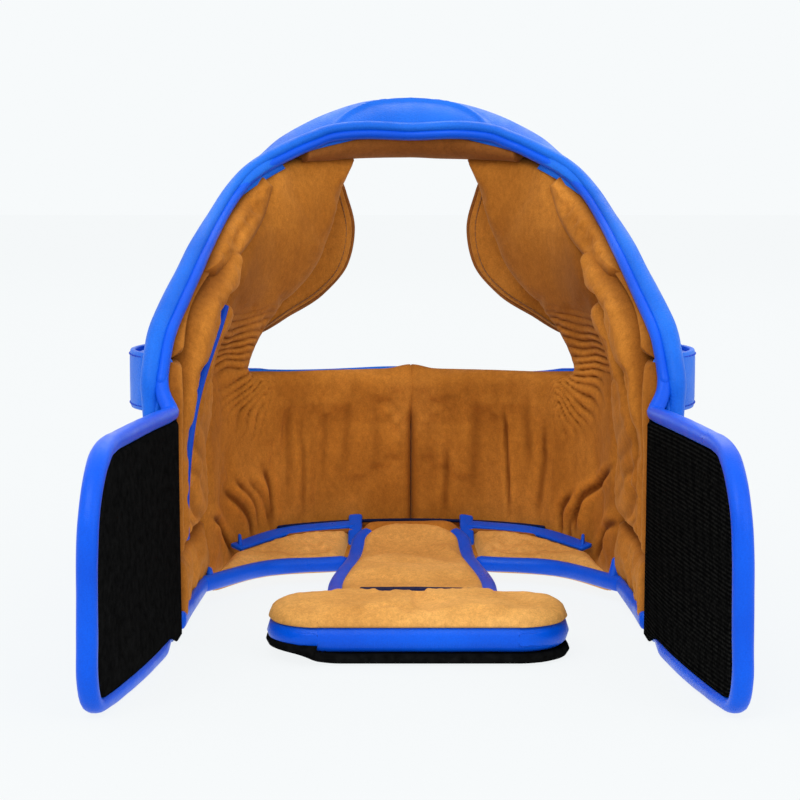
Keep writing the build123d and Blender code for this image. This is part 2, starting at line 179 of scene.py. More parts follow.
# ---- materials
class Look:
    """A material while its nodes are set up."""

    def __init__(self, name, roughness, **fixed):
        self.material = bpy.data.materials.new(name)
        self.material.use_nodes = True
        self.nodes, self.links = self.material.node_tree.nodes, self.material.node_tree.links
        self.inputs = self.nodes["Principled BSDF"].inputs
        self.inputs["Roughness"].default_value = roughness
        for key, number in fixed.items():
            self.inputs[key.replace("_", " ")].default_value = number

    def texture(self, kind, scale, stretch=(1, 1, 1), **settings):
        """A texture's value in the piece's own space, with its grain stretched by the mapping."""
        coordinates, mapping = self.nodes.new("ShaderNodeTexCoord"), self.nodes.new("ShaderNodeMapping")
        mapping.inputs["Scale"].default_value = stretch
        self.links.new(coordinates.outputs["Object"], mapping.inputs["Vector"])
        node = self.nodes.new("ShaderNodeTex" + kind)
        for key, number in {"Scale": scale, **settings}.items():
            node.inputs[key].default_value = number
        self.links.new(mapping.outputs["Vector"], node.inputs["Vector"])
        return node.outputs["Distance" if kind == "Voronoi" else "Fac"]

    def ramp(self, source, *stops):
        """The colour over a socket's value. Each stop is a position and a colour, or one number for a grey."""
        node = self.nodes.new("ShaderNodeValToRGB")
        elements = node.color_ramp.elements
        for index, (position, colour) in enumerate(stops):
            element = elements[index] if index < 2 else elements.new(position)
            element.position = position
            element.color = (*np.broadcast_to(colour, 3), 1)
        self.links.new(source, node.inputs["Fac"])
        return node.outputs["Color"]

    def multiply(self, factor, first, second):
        """The first colour multiplied by the second."""
        node = self.nodes.new("ShaderNodeMix")
        node.data_type, node.blend_type = "RGBA", "MULTIPLY"
        node.inputs[0].default_value = factor
        self.links.new(first, node.inputs[6])
        self.links.new(second, node.inputs[7])
        return node.outputs[2]

    def shaded(self, colour, valley, roll):
        """A colour darkened by painted shade in a piece's folds and lightened by a painted highlight on its
        rolls.
        """
        fold = self.nodes.new("ShaderNodeAttribute")
        fold.attribute_name = "fold"
        return self.multiply(1.0, colour, self.ramp(fold.outputs["Fac"], (0.0, valley), (0.5, 1), (1.0, roll)))

    def complete(self, colour, *layers):
        """Sets the base colour and stacks bumps: each layer is a height socket and its depth in metres."""
        self.links.new(colour, self.inputs["Base Color"])
        previous = None
        for height, depth in layers:
            bump = self.nodes.new("ShaderNodeBump")
            bump.inputs["Distance"].default_value = depth
            self.links.new(height, bump.inputs["Height"])
            if previous:
                self.links.new(previous.outputs["Normal"], bump.inputs["Normal"])
            previous = bump
        self.links.new(previous.outputs["Normal"], self.inputs["Normal"])
        return self.material


def suede(name, dark, middle, light):
    """Brushed microsuede: an even nap with a fine fibre grain."""
    look = Look(name, 0.9, Sheen_Weight=0.16, Sheen_Roughness=0.4, Sheen_Tint=(1.0, 0.62, 0.26, 1),
                Specular_IOR_Level=0.1)
    brushed = look.texture("Noise", 26, (1, 1, 0.7), Detail=3, Roughness=0.5)
    nap = look.texture("Noise", 420, (1, 1, 0.7), Detail=4, Roughness=0.7)
    fibre = look.texture("Noise", 1500, Detail=2, Roughness=0.6)
    colour = look.ramp(brushed, (0.30, dark), (0.5, middle), (0.70, light))
    colour = look.multiply(0.8, colour, look.ramp(nap, (0.3, (0.80, 0.78, 0.76)), (0.7, 1.16)))
    colour = look.multiply(0.7, colour, look.ramp(fibre, (0.3, 0.80), (0.7, 1.15)))
    # painted shade in the folds and a painted highlight on the rolls
    colour = look.shaded(colour, (0.42, 0.33, 0.26), (1.22, 1.2, 1.12))
    return look.complete(colour, (nap, 0.00016), (fibre, 0.00014))


def leather(name, deep, bright, grain_size=1100, roughness=0.4, grain_depth=0.00012):
    """Smooth synthetic leather: fine pebble grain, long soft stretch marks, uneven gloss."""
    look = Look(name, roughness, Specular_IOR_Level=0.28, Specular_Tint=(0.55, 0.75, 1.0, 1))
    patches = look.texture("Noise", 22, Detail=3, Roughness=0.5)
    pebble = look.texture("Voronoi", grain_size, Randomness=0.9)
    pores = look.texture("Noise", 2600, Detail=2)
    pull = look.texture("Noise", 130, (1, 0.35, 0.35), Detail=3, Roughness=0.6)
    colour = look.ramp(patches, (0.35, deep), (0.65, bright))
    colour = look.multiply(0.8, colour, look.ramp(pebble, (0.0, 1.05), (0.9, (0.78, 0.82, 0.88))))
    # painted shade in the folds and a painted highlight on the rolls
    colour = look.shaded(colour, (0.45, 0.5, 0.7), (1.3, 1.2, 1.05))
    gloss = look.ramp(pull, (0.3, roughness - 0.07), (0.7, roughness + 0.12))
    look.links.new(gloss, look.inputs["Roughness"])
    return look.complete(colour, (pull, 0.00035), (pebble, -grain_depth), (pores, 0.00005))


def hook_tape(name):
    """Woven hook tape: close rows of stiff hooks on a black ground."""
    look = Look(name, 0.8, Specular_IOR_Level=0.0)
    rows = look.texture("Wave", 190, (0, 0, 1), Distortion=0.5, Detail=1)
    rows.node.bands_direction = "Z"
    hooks = look.texture("Voronoi", 700, (1, 1, 0.8), Randomness=0.55)
    tone = look.ramp(hooks, (0.1, (0.012, 0.012, 0.011)), (0.6, 0.003))
    colour = look.multiply(0.9, tone, look.ramp(rows, (0.2, 0.45), (0.8, 1.35)))
    return look.complete(colour, (rows, 0.0003), (hooks, -0.0003))


def loop_tape(name):
    """Brushed loop tape: a soft black pile."""
    look = Look(name, 0.95, Specular_IOR_Level=0.0)
    tufts = look.texture("Noise", 240, Detail=5, Roughness=0.75)
    pile = look.texture("Noise", 1500, Detail=2)
    return look.complete(look.ramp(tufts, (0.35, 0.003), (0.75, 0.009)), (tufts, 0.0004), (pile, 0.0002))


SUEDE = suede("tan suede", (0.40, 0.135, 0.016), (0.48, 0.172, 0.022), (0.57, 0.215, 0.032))
# a lighter copy of the suede: painted highlight on faces that the light falls on
SUEDE_LIT = suede("tan suede, painted highlight", (0.65, 0.30, 0.070), (0.74, 0.36, 0.090), (0.84, 0.43, 0.12))
# a darker copy of the suede: painted shade in recesses and on faces turned from the light
SUEDE_SHADED = suede("tan suede, painted shade", (0.22, 0.07, 0.012), (0.28, 0.095, 0.018), (0.34, 0.12, 0.026))
BLUE = leather("blue leather", (0.003, 0.120, 0.66), (0.010, 0.165, 0.78))
BLUE_EDGE = leather(
    "blue leather, rolled edge", (0.0003, 0.080, 0.68), (0.0006, 0.108, 0.80), 1500, 0.34, 0.00006
)
# navy cloth made near black: its darkness is painted shade
NAVY = leather("navy cloth, painted shade", (0.0005, 0.003, 0.035), (0.001, 0.005, 0.055), 2000, 0.7)
THREAD = leather("blue thread", (0.002, 0.04, 0.45), (0.004, 0.06, 0.6), 3000, 0.6, 0.0001)
TAN_THREAD = leather("tan thread", (0.25, 0.1, 0.03), (0.4, 0.18, 0.05), 3000, 0.7, 0.0001)
HOOKS, LOOPS = hook_tape("black hook tape"), loop_tape("black loop tape")

SLOTS = {
    "tan_suede": (SUEDE, SUEDE_LIT, SUEDE_SHADED, TAN_THREAD),
    "blue_leather": (BLUE,),
    "blue_binding": (BLUE_EDGE, NAVY, THREAD),
    "hook_fastener": (HOOKS,),
    "loop_fastener": (LOOPS,),
}
SLOT_OF = {material.name: slot for slot, materials in SLOTS.items() for material in materials}
PLAIN, DEEP_SHADE = 0.5, 0.2  # the "fold" value of a surface without folds, and the painted shade of one deep in a seam or slit


# ---- pieces
def mesh_of(name, vertices, faces):
    mesh = bpy.data.meshes.new(name)
    mesh.from_pydata(vertices.tolist(), [], [list(map(int, face)) for face in faces])
    return mesh


def piece(name, shape, material, body="shell", nodes=None, slot=None, tone=PLAIN):
    """Makes an object from (vertices, faces) or (vertices, faces, folds), and says what it rides on.

    A piece stands for the nodes named, or else for the one with its own name. The slot argument is not used.
    A name that ends in _left gives the mirror image.
    """
    vertices, faces, folds = shape if len(shape) == 3 else (*shape, None)
    side = -1 if name.endswith("_left") else 1
    mesh = mesh_of(name, (np.asarray(vertices, float) * [side, 1, 1] + [0, SHIFT, 0]) * MM, faces)
    work = bmesh.new()
    work.from_mesh(mesh)
    bmesh.ops.recalc_face_normals(work, faces=work.faces)
    work.to_mesh(mesh)
    work.free()
    mesh.polygons.foreach_set("use_smooth", [True] * len(mesh.polygons))
    # the fold attribute carries each vertex's painted shade and painted highlight, read by Look.shaded
    shade = mesh.attributes.new("fold", "FLOAT", "POINT")
    shade.data.foreach_set("value", np.full(len(vertices), tone) if folds is None else folds)
    mesh.materials.append(material)
    made = bpy.data.objects.new(name, mesh)
    bpy.context.scene.collection.objects.link(made)
    if body:
        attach(made, body)
    replaced = nodes or [name] * (name in frame["nodes"])
    if replaced:
        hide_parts(*replaced)
    slot or SLOT_OF[material.name]
    return made


VOXEL = 5.0  # size of the simulated cover's mesh
PUCKER = -0.06  # the cover is cut this share larger than its foam
FRAMES = 20
HELD = 0.05  # a vertex that may move less than this share is part of the seam
SWOLLEN = {}  # a pad and its mirror image share one simulation


def cloth_swell(vertices, faces, still, cap):
    """How far a pad's cover moves, in millimetres, when a cloth simulation blows it up against its seams.

    The cover is remeshed coarsely for the simulation, held where still is true, and the movement is
    carried back to the vertices given, at most cap.
    """
    key = (vertices.round(6).tobytes(), cap)
    if key not in SWOLLEN:
        SWOLLEN[key] = simulated(vertices, faces, still, cap)
    return SWOLLEN[key]


def simulated(vertices, faces, still, cap):
    """Runs the simulation that cloth_swell describes."""
    scene = bpy.context.scene
    cover = bpy.data.objects.new("cover", mesh_of("cover", vertices * MM, faces))
    scene.collection.objects.link(cover)
    remesh = cover.modifiers.new("remesh", "REMESH")
    remesh.mode, remesh.voxel_size = "VOXEL", VOXEL * MM
    coarse = bpy.data.meshes.new_from_object(cover.evaluated_get(bpy.context.evaluated_depsgraph_get()))
    cover.modifiers.remove(remesh)
    cover.data = coarse
    tree = tree_of(vertices * MM)
    pins = cover.vertex_groups.new(name="seams")
    pins.add([v.index for v in coarse.vertices if still[tree.find(v.co)[1]]], 1.0, "REPLACE")
    cloth = cover.modifiers.new("cloth", "CLOTH").settings
    cloth.quality, cloth.mass = 4, 0.3
    cloth.tension_stiffness = cloth.compression_stiffness = 12
    cloth.bending_stiffness = 0.4
    cloth.shrink_min = PUCKER
    cloth.vertex_group_mass = "seams"
    cloth.use_pressure, cloth.uniform_pressure_force = True, 4.0
    cloth.effector_weights.gravity = 0.0
    for number in range(1, FRAMES + 1):
        scene.frame_set(number)
    settled = cover.evaluated_get(bpy.context.evaluated_depsgraph_get()).data
    start = np.array([v.co for v in coarse.vertices]) / MM
    moved = np.array([v.co for v in settled.vertices]) / MM - start
    far = np.linalg.norm(moved, axis=1, keepdims=True)
    moved *= np.minimum(far, cap) / np.maximum(far, 1e-6)
    tree = tree_of(start)
    carried = np.zeros((len(vertices), 3))
    for index, point in enumerate(vertices):
        near = tree.find_n(point, 5)
        weights = np.array([1 / (distance + 0.5) ** 2 for _, _, distance in near])
        carried[index] = weights @ moved[[number for _, number, _ in near]] / weights.sum()
    scene.frame_set(1)
    bpy.data.objects.remove(cover)
    return carried


SOFT_RIM, LOOSE_RIM, DARK_RIM = 7.0, 9.0, 4.5  # how far lumps, swelling and shade reach from the seam
DEEP_FOLD = 2.4  # twice the height at which a fold is shaded fully


def pillow(
    at, columns, rows, near, far, seam, near_round=9.0, far_round=5.0, keep=None, detail=None, swell=0.0,
    shade=0.0,
):
    """A closed pad over a surface, between a near and a far depth that meet at the seam round its rim.

    Returns (vertices, faces, folds), where folds is each vertex's painted shade and highlight. Keep says which
    cells of the grid belong to the pad. Detail gives two heights towards the head, soft unevenness and sewn
    or crushed folds, and only the folds get painted shade. Shade is how much painted shade darkens the rim.
    A swell of more than 0 is the most that a cloth simulation may move the near face.
    """
    across, count = len(columns), len(columns) * len(rows)
    u, v = (grid.ravel() for grid in np.meshgrid(columns, rows))
    points, out = at(u, v), normals(at, u, v)
    middle_u, middle_v = np.meshgrid((columns[1:] + columns[:-1]) / 2, (rows[1:] + rows[:-1]) / 2)
    cells = np.ones(middle_u.shape, bool) if keep is None else keep(middle_u, middle_v)
    touching = np.zeros((len(rows), across), int)
    for down, right in itertools.product((0, 1), repeat=2):
        touching[down : down + cells.shape[0], right : right + cells.shape[1]] += cells
    used, rim = touching.ravel() > 0, (touching.ravel() > 0) & (touching.ravel() < 4)
    rim_index = np.flatnonzero(rim)
    tree = tree_of(points[rim_index])
    away, closest = np.zeros(count), np.zeros(count, int)
    for index in np.flatnonzero(used):
        _, number, distance = tree.find(points[index])
        away[index], closest[index] = distance, rim_index[number]
    seam_depth = np.broadcast_to(value(seam, u, v), (count,))[closest]

    def rounded(depth, radius):
        share = np.clip(away / np.broadcast_to(value(radius, u, v), (count,)), 0, 1)
        return seam_depth + (value(depth, u, v) - seam_depth) * np.sqrt(1 - (1 - share) ** 2)

    heights = (0, 0) if detail is None else detail(points, u, v)
    soft, sewn = (np.broadcast_to(height, (count,)) * smooth(0, SOFT_RIM, away) for height in heights)
    inside = points + out * rounded(near, near_round)[:, None]
    outside = points + out * rounded(far, far_round)[:, None]
    first = np.cumsum(used) - 1
    second = np.where(rim, first, int(used.sum()) + np.cumsum(used & ~rim) - 1)
    faces = []
    for row, column in zip(*np.nonzero(cells)):
        corners = [row * across + column, row * across + column + 1]
        corners += [corners[1] + across, corners[0] + across]
        faces.append([first[c] for c in corners])
        faces.append([second[c] for c in corners[::-1]])
    behind = np.zeros(int((used & ~rim).sum()))
    loose = np.concatenate([smooth(0, LOOSE_RIM, away)[used], behind])
    vertices = np.concatenate([inside[used], outside[used & ~rim]])
    if swell:
        held = np.arange(len(loose)) >= used.sum()
        vertices = vertices + cloth_swell(vertices, faces, held | (loose < HELD), swell) * loose[:, None]
    lift = out * -(soft + sewn)[:, None]
    vertices = vertices + np.concatenate([lift[used], np.zeros((len(behind), 3))])
    # painted shade in the folds and along the rim, painted highlight on the rolls
    tone = np.clip(PLAIN + sewn / DEEP_FOLD - shade * smooth(DARK_RIM, 0.5, away), 0, 1)
    return vertices, faces, np.concatenate([tone[used], behind + PLAIN])


def tube(path, ups, width, height, around=14, closed=False, square=2.0):
    """A strip swept along a path: width runs along ups, height across them. Round ends unless closed.

    Square is the power of its section: 2 for an ellipse, more for a box with rounded corners.
    """
    path = np.asarray(path, float)
    count = len(path)
    tangent = np.roll(path, -1, axis=0) - np.roll(path, 1, axis=0)
    if not closed:
        tangent[0], tangent[-1] = path[1] - path[0], path[-1] - path[-2]
    tangent = unit(tangent)
    ups = np.broadcast_to(ups, path.shape)
    ups = unit(ups - tangent * np.sum(ups * tangent, axis=1)[:, None])
    across = np.cross(tangent, ups)
    width, height = (np.broadcast_to(size, (count,)) / 2 for size in (width, height))
    angles = np.linspace(0, 2 * np.pi, around, endpoint=False)
    power = 2.0 / square
    cosine = np.sign(np.cos(angles)) * np.abs(np.cos(angles)) ** power
    sine = np.sign(np.sin(angles)) * np.abs(np.sin(angles)) ** power

    def ring(index, scale=1.0, shift=0.0):
        centre = path[index] + tangent[index] * shift
        wide = ups[index][None] * (width[index] * scale * cosine)[:, None]
        return centre + wide + across[index][None] * (height[index] * scale * sine)[:, None]

    ends = [] if closed else [math.radians(x) for x in (78, 55, 28)]
    rings = [ring(0, math.cos(x), -math.sin(x) * height[0]) for x in ends]
    rings += [ring(index) for index in range(count)]
    rings += [ring(count - 1, math.cos(x), math.sin(x) * height[-1]) for x in ends[::-1]]
    vertices = np.concatenate(rings)
    faces, total = [], len(rings)
    for index in range(total if closed else total - 1):
        for k in range(around):
            here, there = index * around, (index + 1) % total * around
            faces.append([here + k, here + (k + 1) % around, there + (k + 1) % around, there + k])
    if not closed:
        faces += [list(range(around)), [(total - 1) * around + k for k in range(around)]]
    return vertices, faces


def joined(shapes):
    """Several (vertices, faces) as one, without their folds."""
    vertices, faces, start = [], [], 0
    for points, polygons, *_ in shapes:
        vertices.append(points)
        faces += [[start + k for k in polygon] for polygon in polygons]
        start += len(points)
    return np.concatenate(vertices), faces


def stitches(path, ups, length=3.0, gap=1.3, thick=0.8):
    """A row of thread stitches lying along a path."""
    path = np.asarray(path, float)
    run = np.concatenate([[0], np.cumsum(np.linalg.norm(np.diff(path, axis=0), axis=1))])
    ups = np.broadcast_to(ups, path.shape)
    pick = lambda source, s: np.stack([np.interp(s, run, source[:, axis]) for axis in range(3)], axis=-1)
    shapes = []
    for start in np.arange(gap, run[-1] - length, length + gap):
        s = start + np.array([0, 0.5, 1]) * length
        shapes.append(tube(pick(path, s), pick(ups, s), thick, thick, around=6))
    return joined(shapes)


def steps(low, high, size):
    """Evenly spaced values from low to high, about size apart."""
    return np.linspace(low, high, max(int(round((high - low) / size)), 2) + 1)


# ---- surfaces: inner faces of the walls
HALF_WIDTH, HEAD_CENTRE_Y, FOREHEAD_REACH = 100.0, 10.0, 80.0
COLUMN_ANGLES = (0, 17, 34, 50.4, 69, 90)  # degrees round from straight ahead
ROW_HEIGHTS = (0, 35, 70, 103.5)
EYE = np.array([76.0, 62.0, 104.0])  # the outer corner of the eye opening
CHEEK_ROWS = [  # above the eye corner, each from front to rear
    [(66, 88, 128), (86, 52, 128), (94, 14, 127)],
    [(50, 104, 149), (75, 66, 150), (88, 19, 150)],
    [(38, 107, 176), (67, 71, 175), (86, 30, 174)],
    [(31, 105, 192), (57, 80, 193), (79, 47, 190)],
    [(24, 101, 206), (46, 86, 208), (65, 67, 205)],
]
SIDE_ROWS = [  # each from rear to front
    [(101, -81, 3), (103, -42, 5), (99, 8, 7)],
    [(101, -81, 52), (104, -48, 50), (100, 8, 55)],
    [(101, -81, 102), (102, -46, 98), (98, 10, 104)],
    [(104, -58, 131), (97, -24, 133), (93, 13, 131)],
    [(95, -18, 157), (91, 1, 158), (87, 20, 157)],
    [(87, 26, 181), (85, 31, 182), (82, 36, 183)],
]
JAW_PAD_ROWS = [  # along the rim, each from the rim forwards
    [(96.5, -20, 156), (93.5, -16, 155), (90, -10, 154)],
    [(93.5, -4, 165), (88.5, 6, 162), (82, 17, 160)],
    [(88.5, 20, 178), (82.5, 28, 173), (75.5, 34, 169)],
    [(83, 42, 189), (77, 47, 184), (70.5, 51, 180)],
    [(73, 58, 200), (70, 60, 197), (67, 62, 194)],
]
CROWN_ROWS = [  # each from the middle outwards, front row first
    [(31, 76, 20), (63, 62, 19), (88, 34, 16)],
    [(33, 57, 16), (67, 45, 15), (92, 16, 13)],
    [(35, 38, 12.5), (69, 27, 12.5), (96, -8, 12)],
]
RIM_PATH = [  # inner edge of the neck opening's rim, from the right hinge to the middle of the chin
    (107, -77, 112), (106, -68, 123), (104.5, -58, 132), (99.5, -35, 147), (94.5, -10, 162), (89.5, 18, 176),
    (83, 42, 189), (73, 58, 199.5), (57, 75, 208.5), (48, 81, 212.5), (38.5, 88, 216), (22, 95, 217.5),
    (0, 99, 216.8),
]


def brow_point(degrees, height):
    turn = math.radians(degrees)
    return (HALF_WIDTH * math.sin(turn), HEAD_CENTRE_Y + FOREHEAD_REACH * math.cos(turn), height)


def face_rows():
    """Forehead, temples and cheeks as one sheet: columns from the far left (0) to the far right (10)."""
    rows = []
    for height in ROW_HEIGHTS:
        right = [brow_point(angle, height) for angle in COLUMN_ANGLES]
        rows.append([(-x, y, z) for x, y, z in right[:0:-1]] + right)
    for cheek in CHEEK_ROWS:
        front, middle = np.array(cheek[0]), np.array(cheek[1])
        beyond = tuple(2 * front - middle)  # outside the sheet: it only sets the slope at the front edge
        right = [beyond, beyond, beyond, *cheek]
        rows.append([(-x, y, z) for x, y, z in right[:0:-1]] + right)
    return rows


CENTRE, EYE_COLUMN, LAST_COLUMN = 5.0, 8.0, 10.0
BROW_ROW, TOP_ROW = 3.0, 8.0
face_at = surface(face_rows())
side_at = surface(SIDE_ROWS)
jaw_at = surface(JAW_PAD_ROWS)
crown_at = surface(CROWN_ROWS)


def wall_thickness(u, v):
    """Of the forehead, temples and cheeks: thick at the brow and where the cheek meets the face opening."""
    brow = 16 + 11 * np.cos(np.clip(np.abs(u - CENTRE) / 5, 0, 1) * np.pi / 2) ** 1.5
    front = smooth(10.2, 7.8, np.maximum(u, LAST_COLUMN - u)) * smooth(3.6, 4.6, v)
    rim = 2.5 * smooth(5.4, 6.6, v)
    return brow + rim + front * (9 * (1 - 0.06 * (v - BROW_ROW)) - rim)


def l_shaped(u, v):
    """Keeps the forehead below the brow row and only the cheeks above it."""
    return (v < BROW_ROW) | (np.abs(u - CENTRE) > EYE_COLUMN - CENTRE)


def edge_line(at, us, vs, depth, away=0.0, towards=None):
    """Points and outward normals along a line of a surface, at a depth and moved out of its edge."""
    us, vs = (spots.astype(float) for spots in np.broadcast_arrays(us, vs))
    points, out = at(us, vs), normals(at, us, vs)
    if towards is not None:
        inner = at(us + towards[0], vs + towards[1])
        leave = unit(points - inner)
        leave = unit(leave - out * np.sum(leave * out, axis=1)[:, None])
        points = points + leave * away
    return points + out * np.broadcast_to(depth, us.shape)[:, None], out


def sewn_row(name, at, us, vs, depth):
    """A row of stitches along a line of a surface."""
    piece(name, stitches(*edge_line(at, us, vs, depth)), THREAD)


def uneven(seed, size=20.0, height=0.6, sewn=None):
    """A detail for pillow: soft lumps of that size, and any sewn or crushed folds."""
    def detail(points, u, v):
        soft = height * (noise(points, size, seed) + 0.45 * noise(points, size * 0.4, seed + 1))
        return soft, 0 * u if sewn is None else sewn(points, u, v)
    return detail


SIDES = ((1, "right"), (-1, "left"))


# ---- suede lining of the forehead, temples and cheeks
# Folds as (angle from straight ahead, height) points, then width and depth. Shallow ones are crushed nap.
LEFT_FOLDS = [
    ([(50, 54), (47, 44), (44.5, 24)], 2.0, 1.7),
    ([(58, 50), (50, 38), (45.5, 22)], 1.8, 1.6),
    ([(64, 50), (54, 38), (49.5, 20)], 1.8, 1.9),
    ([(69, 46), (56.5, 32), (52.5, 16)], 2.0, 1.9),
    ([(84, 36), (73, 29), (62, 12)], 1.8, 2.4),
    ([(39.5, 88), (38.5, 60), (39.5, 34)], 2.6, 0.5),
    ([(34.5, 80), (33.5, 55), (33.5, 24)], 1.6, 0.7),
    ([(27, 86), (26, 66), (27, 44)], 2.2, 0.5),
    ([(20, 92), (19, 70), (20, 46)], 2.4, 0.5),
    ([(11, 90), (10.4, 66), (11, 44)], 2.2, 0.35),
]
RIGHT_FOLDS = [
    ([(28.4, 84), (29.2, 56), (30.4, 27)], 1.1, 1.5),
    ([(11, 62), (10.4, 44), (10.2, 24)], 1.6, 0.8),
    ([(20, 90), (19, 62), (18, 36)], 2.6, 0.45),
    ([(44, 76), (42, 50), (40, 26)], 2.0, 0.8),
    ([(84, 60), (70, 49), (59, 38), (57, 18)], 1.7, 2.6),
    ([(56, 42), (51, 32), (50, 18)], 1.8, 1.7),
    ([(60, 36), (55, 28), (54, 16)], 1.8, 1.6),
    ([(88, 34), (76, 28), (66, 10)], 2.0, 2.2),
    ([(37, 94), (36, 74), (37, 52)], 2.2, 0.5),
]


def waist_height(points, side):
    """Gathers across the narrow waist at the eye corner, level above it and fanning out below it."""
    x, y, z = points.T
    reach = np.hypot(x - EYE[0], y - EYE[1]) * np.where(y > EYE[1], -1, 1)
    turn = np.degrees(np.arctan2(np.clip(EYE[2] - z, 0, None), reach + 10))
    phase = 0.27 * np.clip(z - EYE[2], 0, None) - turn / 8.5 + 0.6 * noise(points, (22, 14, 12), 11 + side)
    ridges = 2 * np.abs(np.sin(np.pi * phase)) ** 0.4 - 1.5
    strength = 0.85 + 0.5 * noise(points, (10, 10, 5), 31 + side)
    above = smooth(138, 118, z) * smooth(-6, 14, y)
    below = smooth(44, 18, np.linalg.norm(points - EYE, axis=1)) * smooth(69, 56, y)
    return 1.45 * ridges * strength * np.where(z > EYE[2], above, above * below)


def lining_detail(side):
    """The lining's soft lumps, its folds and its gathered waist."""
    folds = LEFT_FOLDS if side < 0 else RIGHT_FOLDS
    paths = [([brow_point(*spot) for spot in path], width, depth) for path, width, depth in folds]

    def sewn(points, u, v):
        total = 0.22 * noise(points, (5, 5, 30), 7 + side) * smooth(0.2, 1.2, v) * smooth(3.2, 2.6, v)
        for path, width, depth in paths:
            total += crease(points, path, width, depth)
        return total + waist_height(points, side)

    return uneven(3 + side, 26, 0.75, sewn)


def lining_near(u, v):
    """How far the padded suede stands in towards the head: most on the cheek roll."""
    cheek = np.exp(-(((v - 5.6) / 1.4) ** 2)) * np.exp(-(((u - 8.6) / 1.1) ** 2))
    waist = np.exp(-(((v - 3.3) / 0.55) ** 2))
    return -(1.8 + 6.0 * cheek - 1.6 * waist * smooth(7.2, 8.2, u))


def lining_seam(u, v):
    centre = smooth(5.4, 5.05, u) * smooth(3.4, 2.9, v)
    return 10.0 - 8.0 * centre - 3.0 * smooth(9.6, 10.0, u)


HOLLOW_SHADE = (34, 26), (146, 24), (118, 14)  # centre and reach of painted shade: in the temple's hollow along y and z, in the waist along z


def build_face_lining():
    columns = steps(CENTRE + 0.002, LAST_COLUMN, 0.045)
    rows = [steps(0.0, 2.0, 0.038)[:-1], steps(2.0, 4.6, 0.026)[:-1], steps(4.6, TOP_ROW - 0.08, 0.05)]
    radius = lambda u, v: 3.6 + 6.9 * smooth(5.0, 5.6, u) + 5.0 * smooth(3.4, 4.6, v)
    stems = ("forehead_lining_", "temple_lining_", "temple_foam_", "cheek_lining_", "cheek_foam_")
    for side, name in SIDES:
        vertices, faces, folds = pillow(
            face_at, columns, np.concatenate(rows), lining_near, 11.0, lining_seam, near_round=radius,
            far_round=3.0, keep=l_shaped, detail=lining_detail(side), swell=1.1, shade=0.2,
        )
        spots = (vertices[:, 1], vertices[:, 2], vertices[:, 2])
        y, z, low = (((spot - centre) / reach) ** 2 for spot, (centre, reach) in zip(spots, HOLLOW_SHADE))
        hollow_shade = np.exp(-y - z) + 0.5 * np.exp(-low)
        # painted shade in the temple's hollow and the waist, and over the whole right half
        folds = np.clip(folds - 0.33 * hollow_shade - (0.08 if side > 0 else 0.0), 0, 1)
        nodes = [stem + name for stem in stems] + ["forehead_foam"] * (side > 0)
        piece("face_lining_" + name, (vertices, faces, folds), SUEDE, nodes=nodes)


# ---- leather shells
def shell_seam(u, v):
    """How deep the leather's edge lies: just behind the lining's, and behind the rolled rim at the rear."""
    return lining_seam(u, v) + 0.6 + 3.4 * smooth(3.1, 2.9, v) * smooth(0.5, 1.2, v)


def outer_face(seed):
    """A gently uneven outer face of the padded wall."""
    return lambda u, v: wall_thickness(u, v) + 0.7 * noise(face_at(u, v), 34, seed)


def build_face_shell():
    """The leather over the forehead and the cheeks, in three panels that meet at sewn valleys."""
    behind = lambda u, v: shell_seam(u, v) + 0.4
    shape = pillow(face_at, steps(0.0, LAST_COLUMN, 0.07), steps(0.0, BROW_ROW, 0.06), behind, outer_face(55),
                   shell_seam, 3.0, 11.0, detail=uneven(57, 30, 0.4))
    piece("forehead_shell", shape, BLUE)
    across = np.linspace(0.35, 9.65, 240)
    for row, label in ((0.36, "lower"), (BROW_ROW - 0.36, "upper")):
        sewn_row("forehead_stitching_" + label, face_at, across, row, wall_thickness(across, row) - 0.1)
    columns, rows = steps(EYE_COLUMN, LAST_COLUMN + 0.02, 0.05), steps(BROW_ROW - 0.02, TOP_ROW, 0.05)
    radius = lambda u, v: 10.5 - 4.0 * smooth(5.2, 6.4, v)
    for side, name in SIDES:
        shape = pillow(face_at, columns, rows, behind, outer_face(58 + side), shell_seam, 3.0, radius)
        piece("cheek_shell_" + name, shape, BLUE)
        up = np.linspace(BROW_ROW + 0.3, TOP_ROW - 0.3, 120)
        sewn_row("cheek_stitching_" + name, face_at, LAST_COLUMN - 0.12, up, wall_thickness(9.88, up) - 0.9)
        up = np.linspace(0.06, TOP_ROW - 0.5, 160)
        line, out = edge_line(face_at, LAST_COLUMN, up, 10.5 - 1.5 * smooth(3, 6, up))
        # painted shade: the seam lies deep in a valley
        piece("panel_seam_" + name, tube(line, out, 8.0, 3.6, 12), BLUE_EDGE, tone=DEEP_SHADE)


def build_brow_binding():
    """The rolled leather edge along the top of the forehead, behind the suede, tucked in at its ends."""
    us = np.linspace(CENTRE - 2.98, CENTRE + 2.98, 110)
    ends = smooth(2.98, 2.6, np.abs(us - CENTRE))
    path, out = edge_line(face_at, us, BROW_ROW, 15.5 + 1.0 * ends, 0.4, (0, -0.05))
    piece("brow_binding", tube(path, out, 6 + 8.5 * ends, 3.4 + 2.0 * ends), BLUE_EDGE)


# ---- cheek protectors
PROTECTOR_STATIONS = (0, 0.2, 0.4, 0.6, 0.75, 0.9, 1)
PROTECTOR_EDGE = [
    (38, 108, 200), (33.5, 115, 187), (29.5, 119, 170), (33.5, 119, 151), (45, 115, 138), (62, 103, 128),
    (78, 86, 118),
]
PROTECTOR_BASE = [
    (58, 104, 196), (58, 105, 186), (62, 104, 170), (66, 102, 152), (72, 98, 142), (80, 90, 132), (88, 76, 120),
]


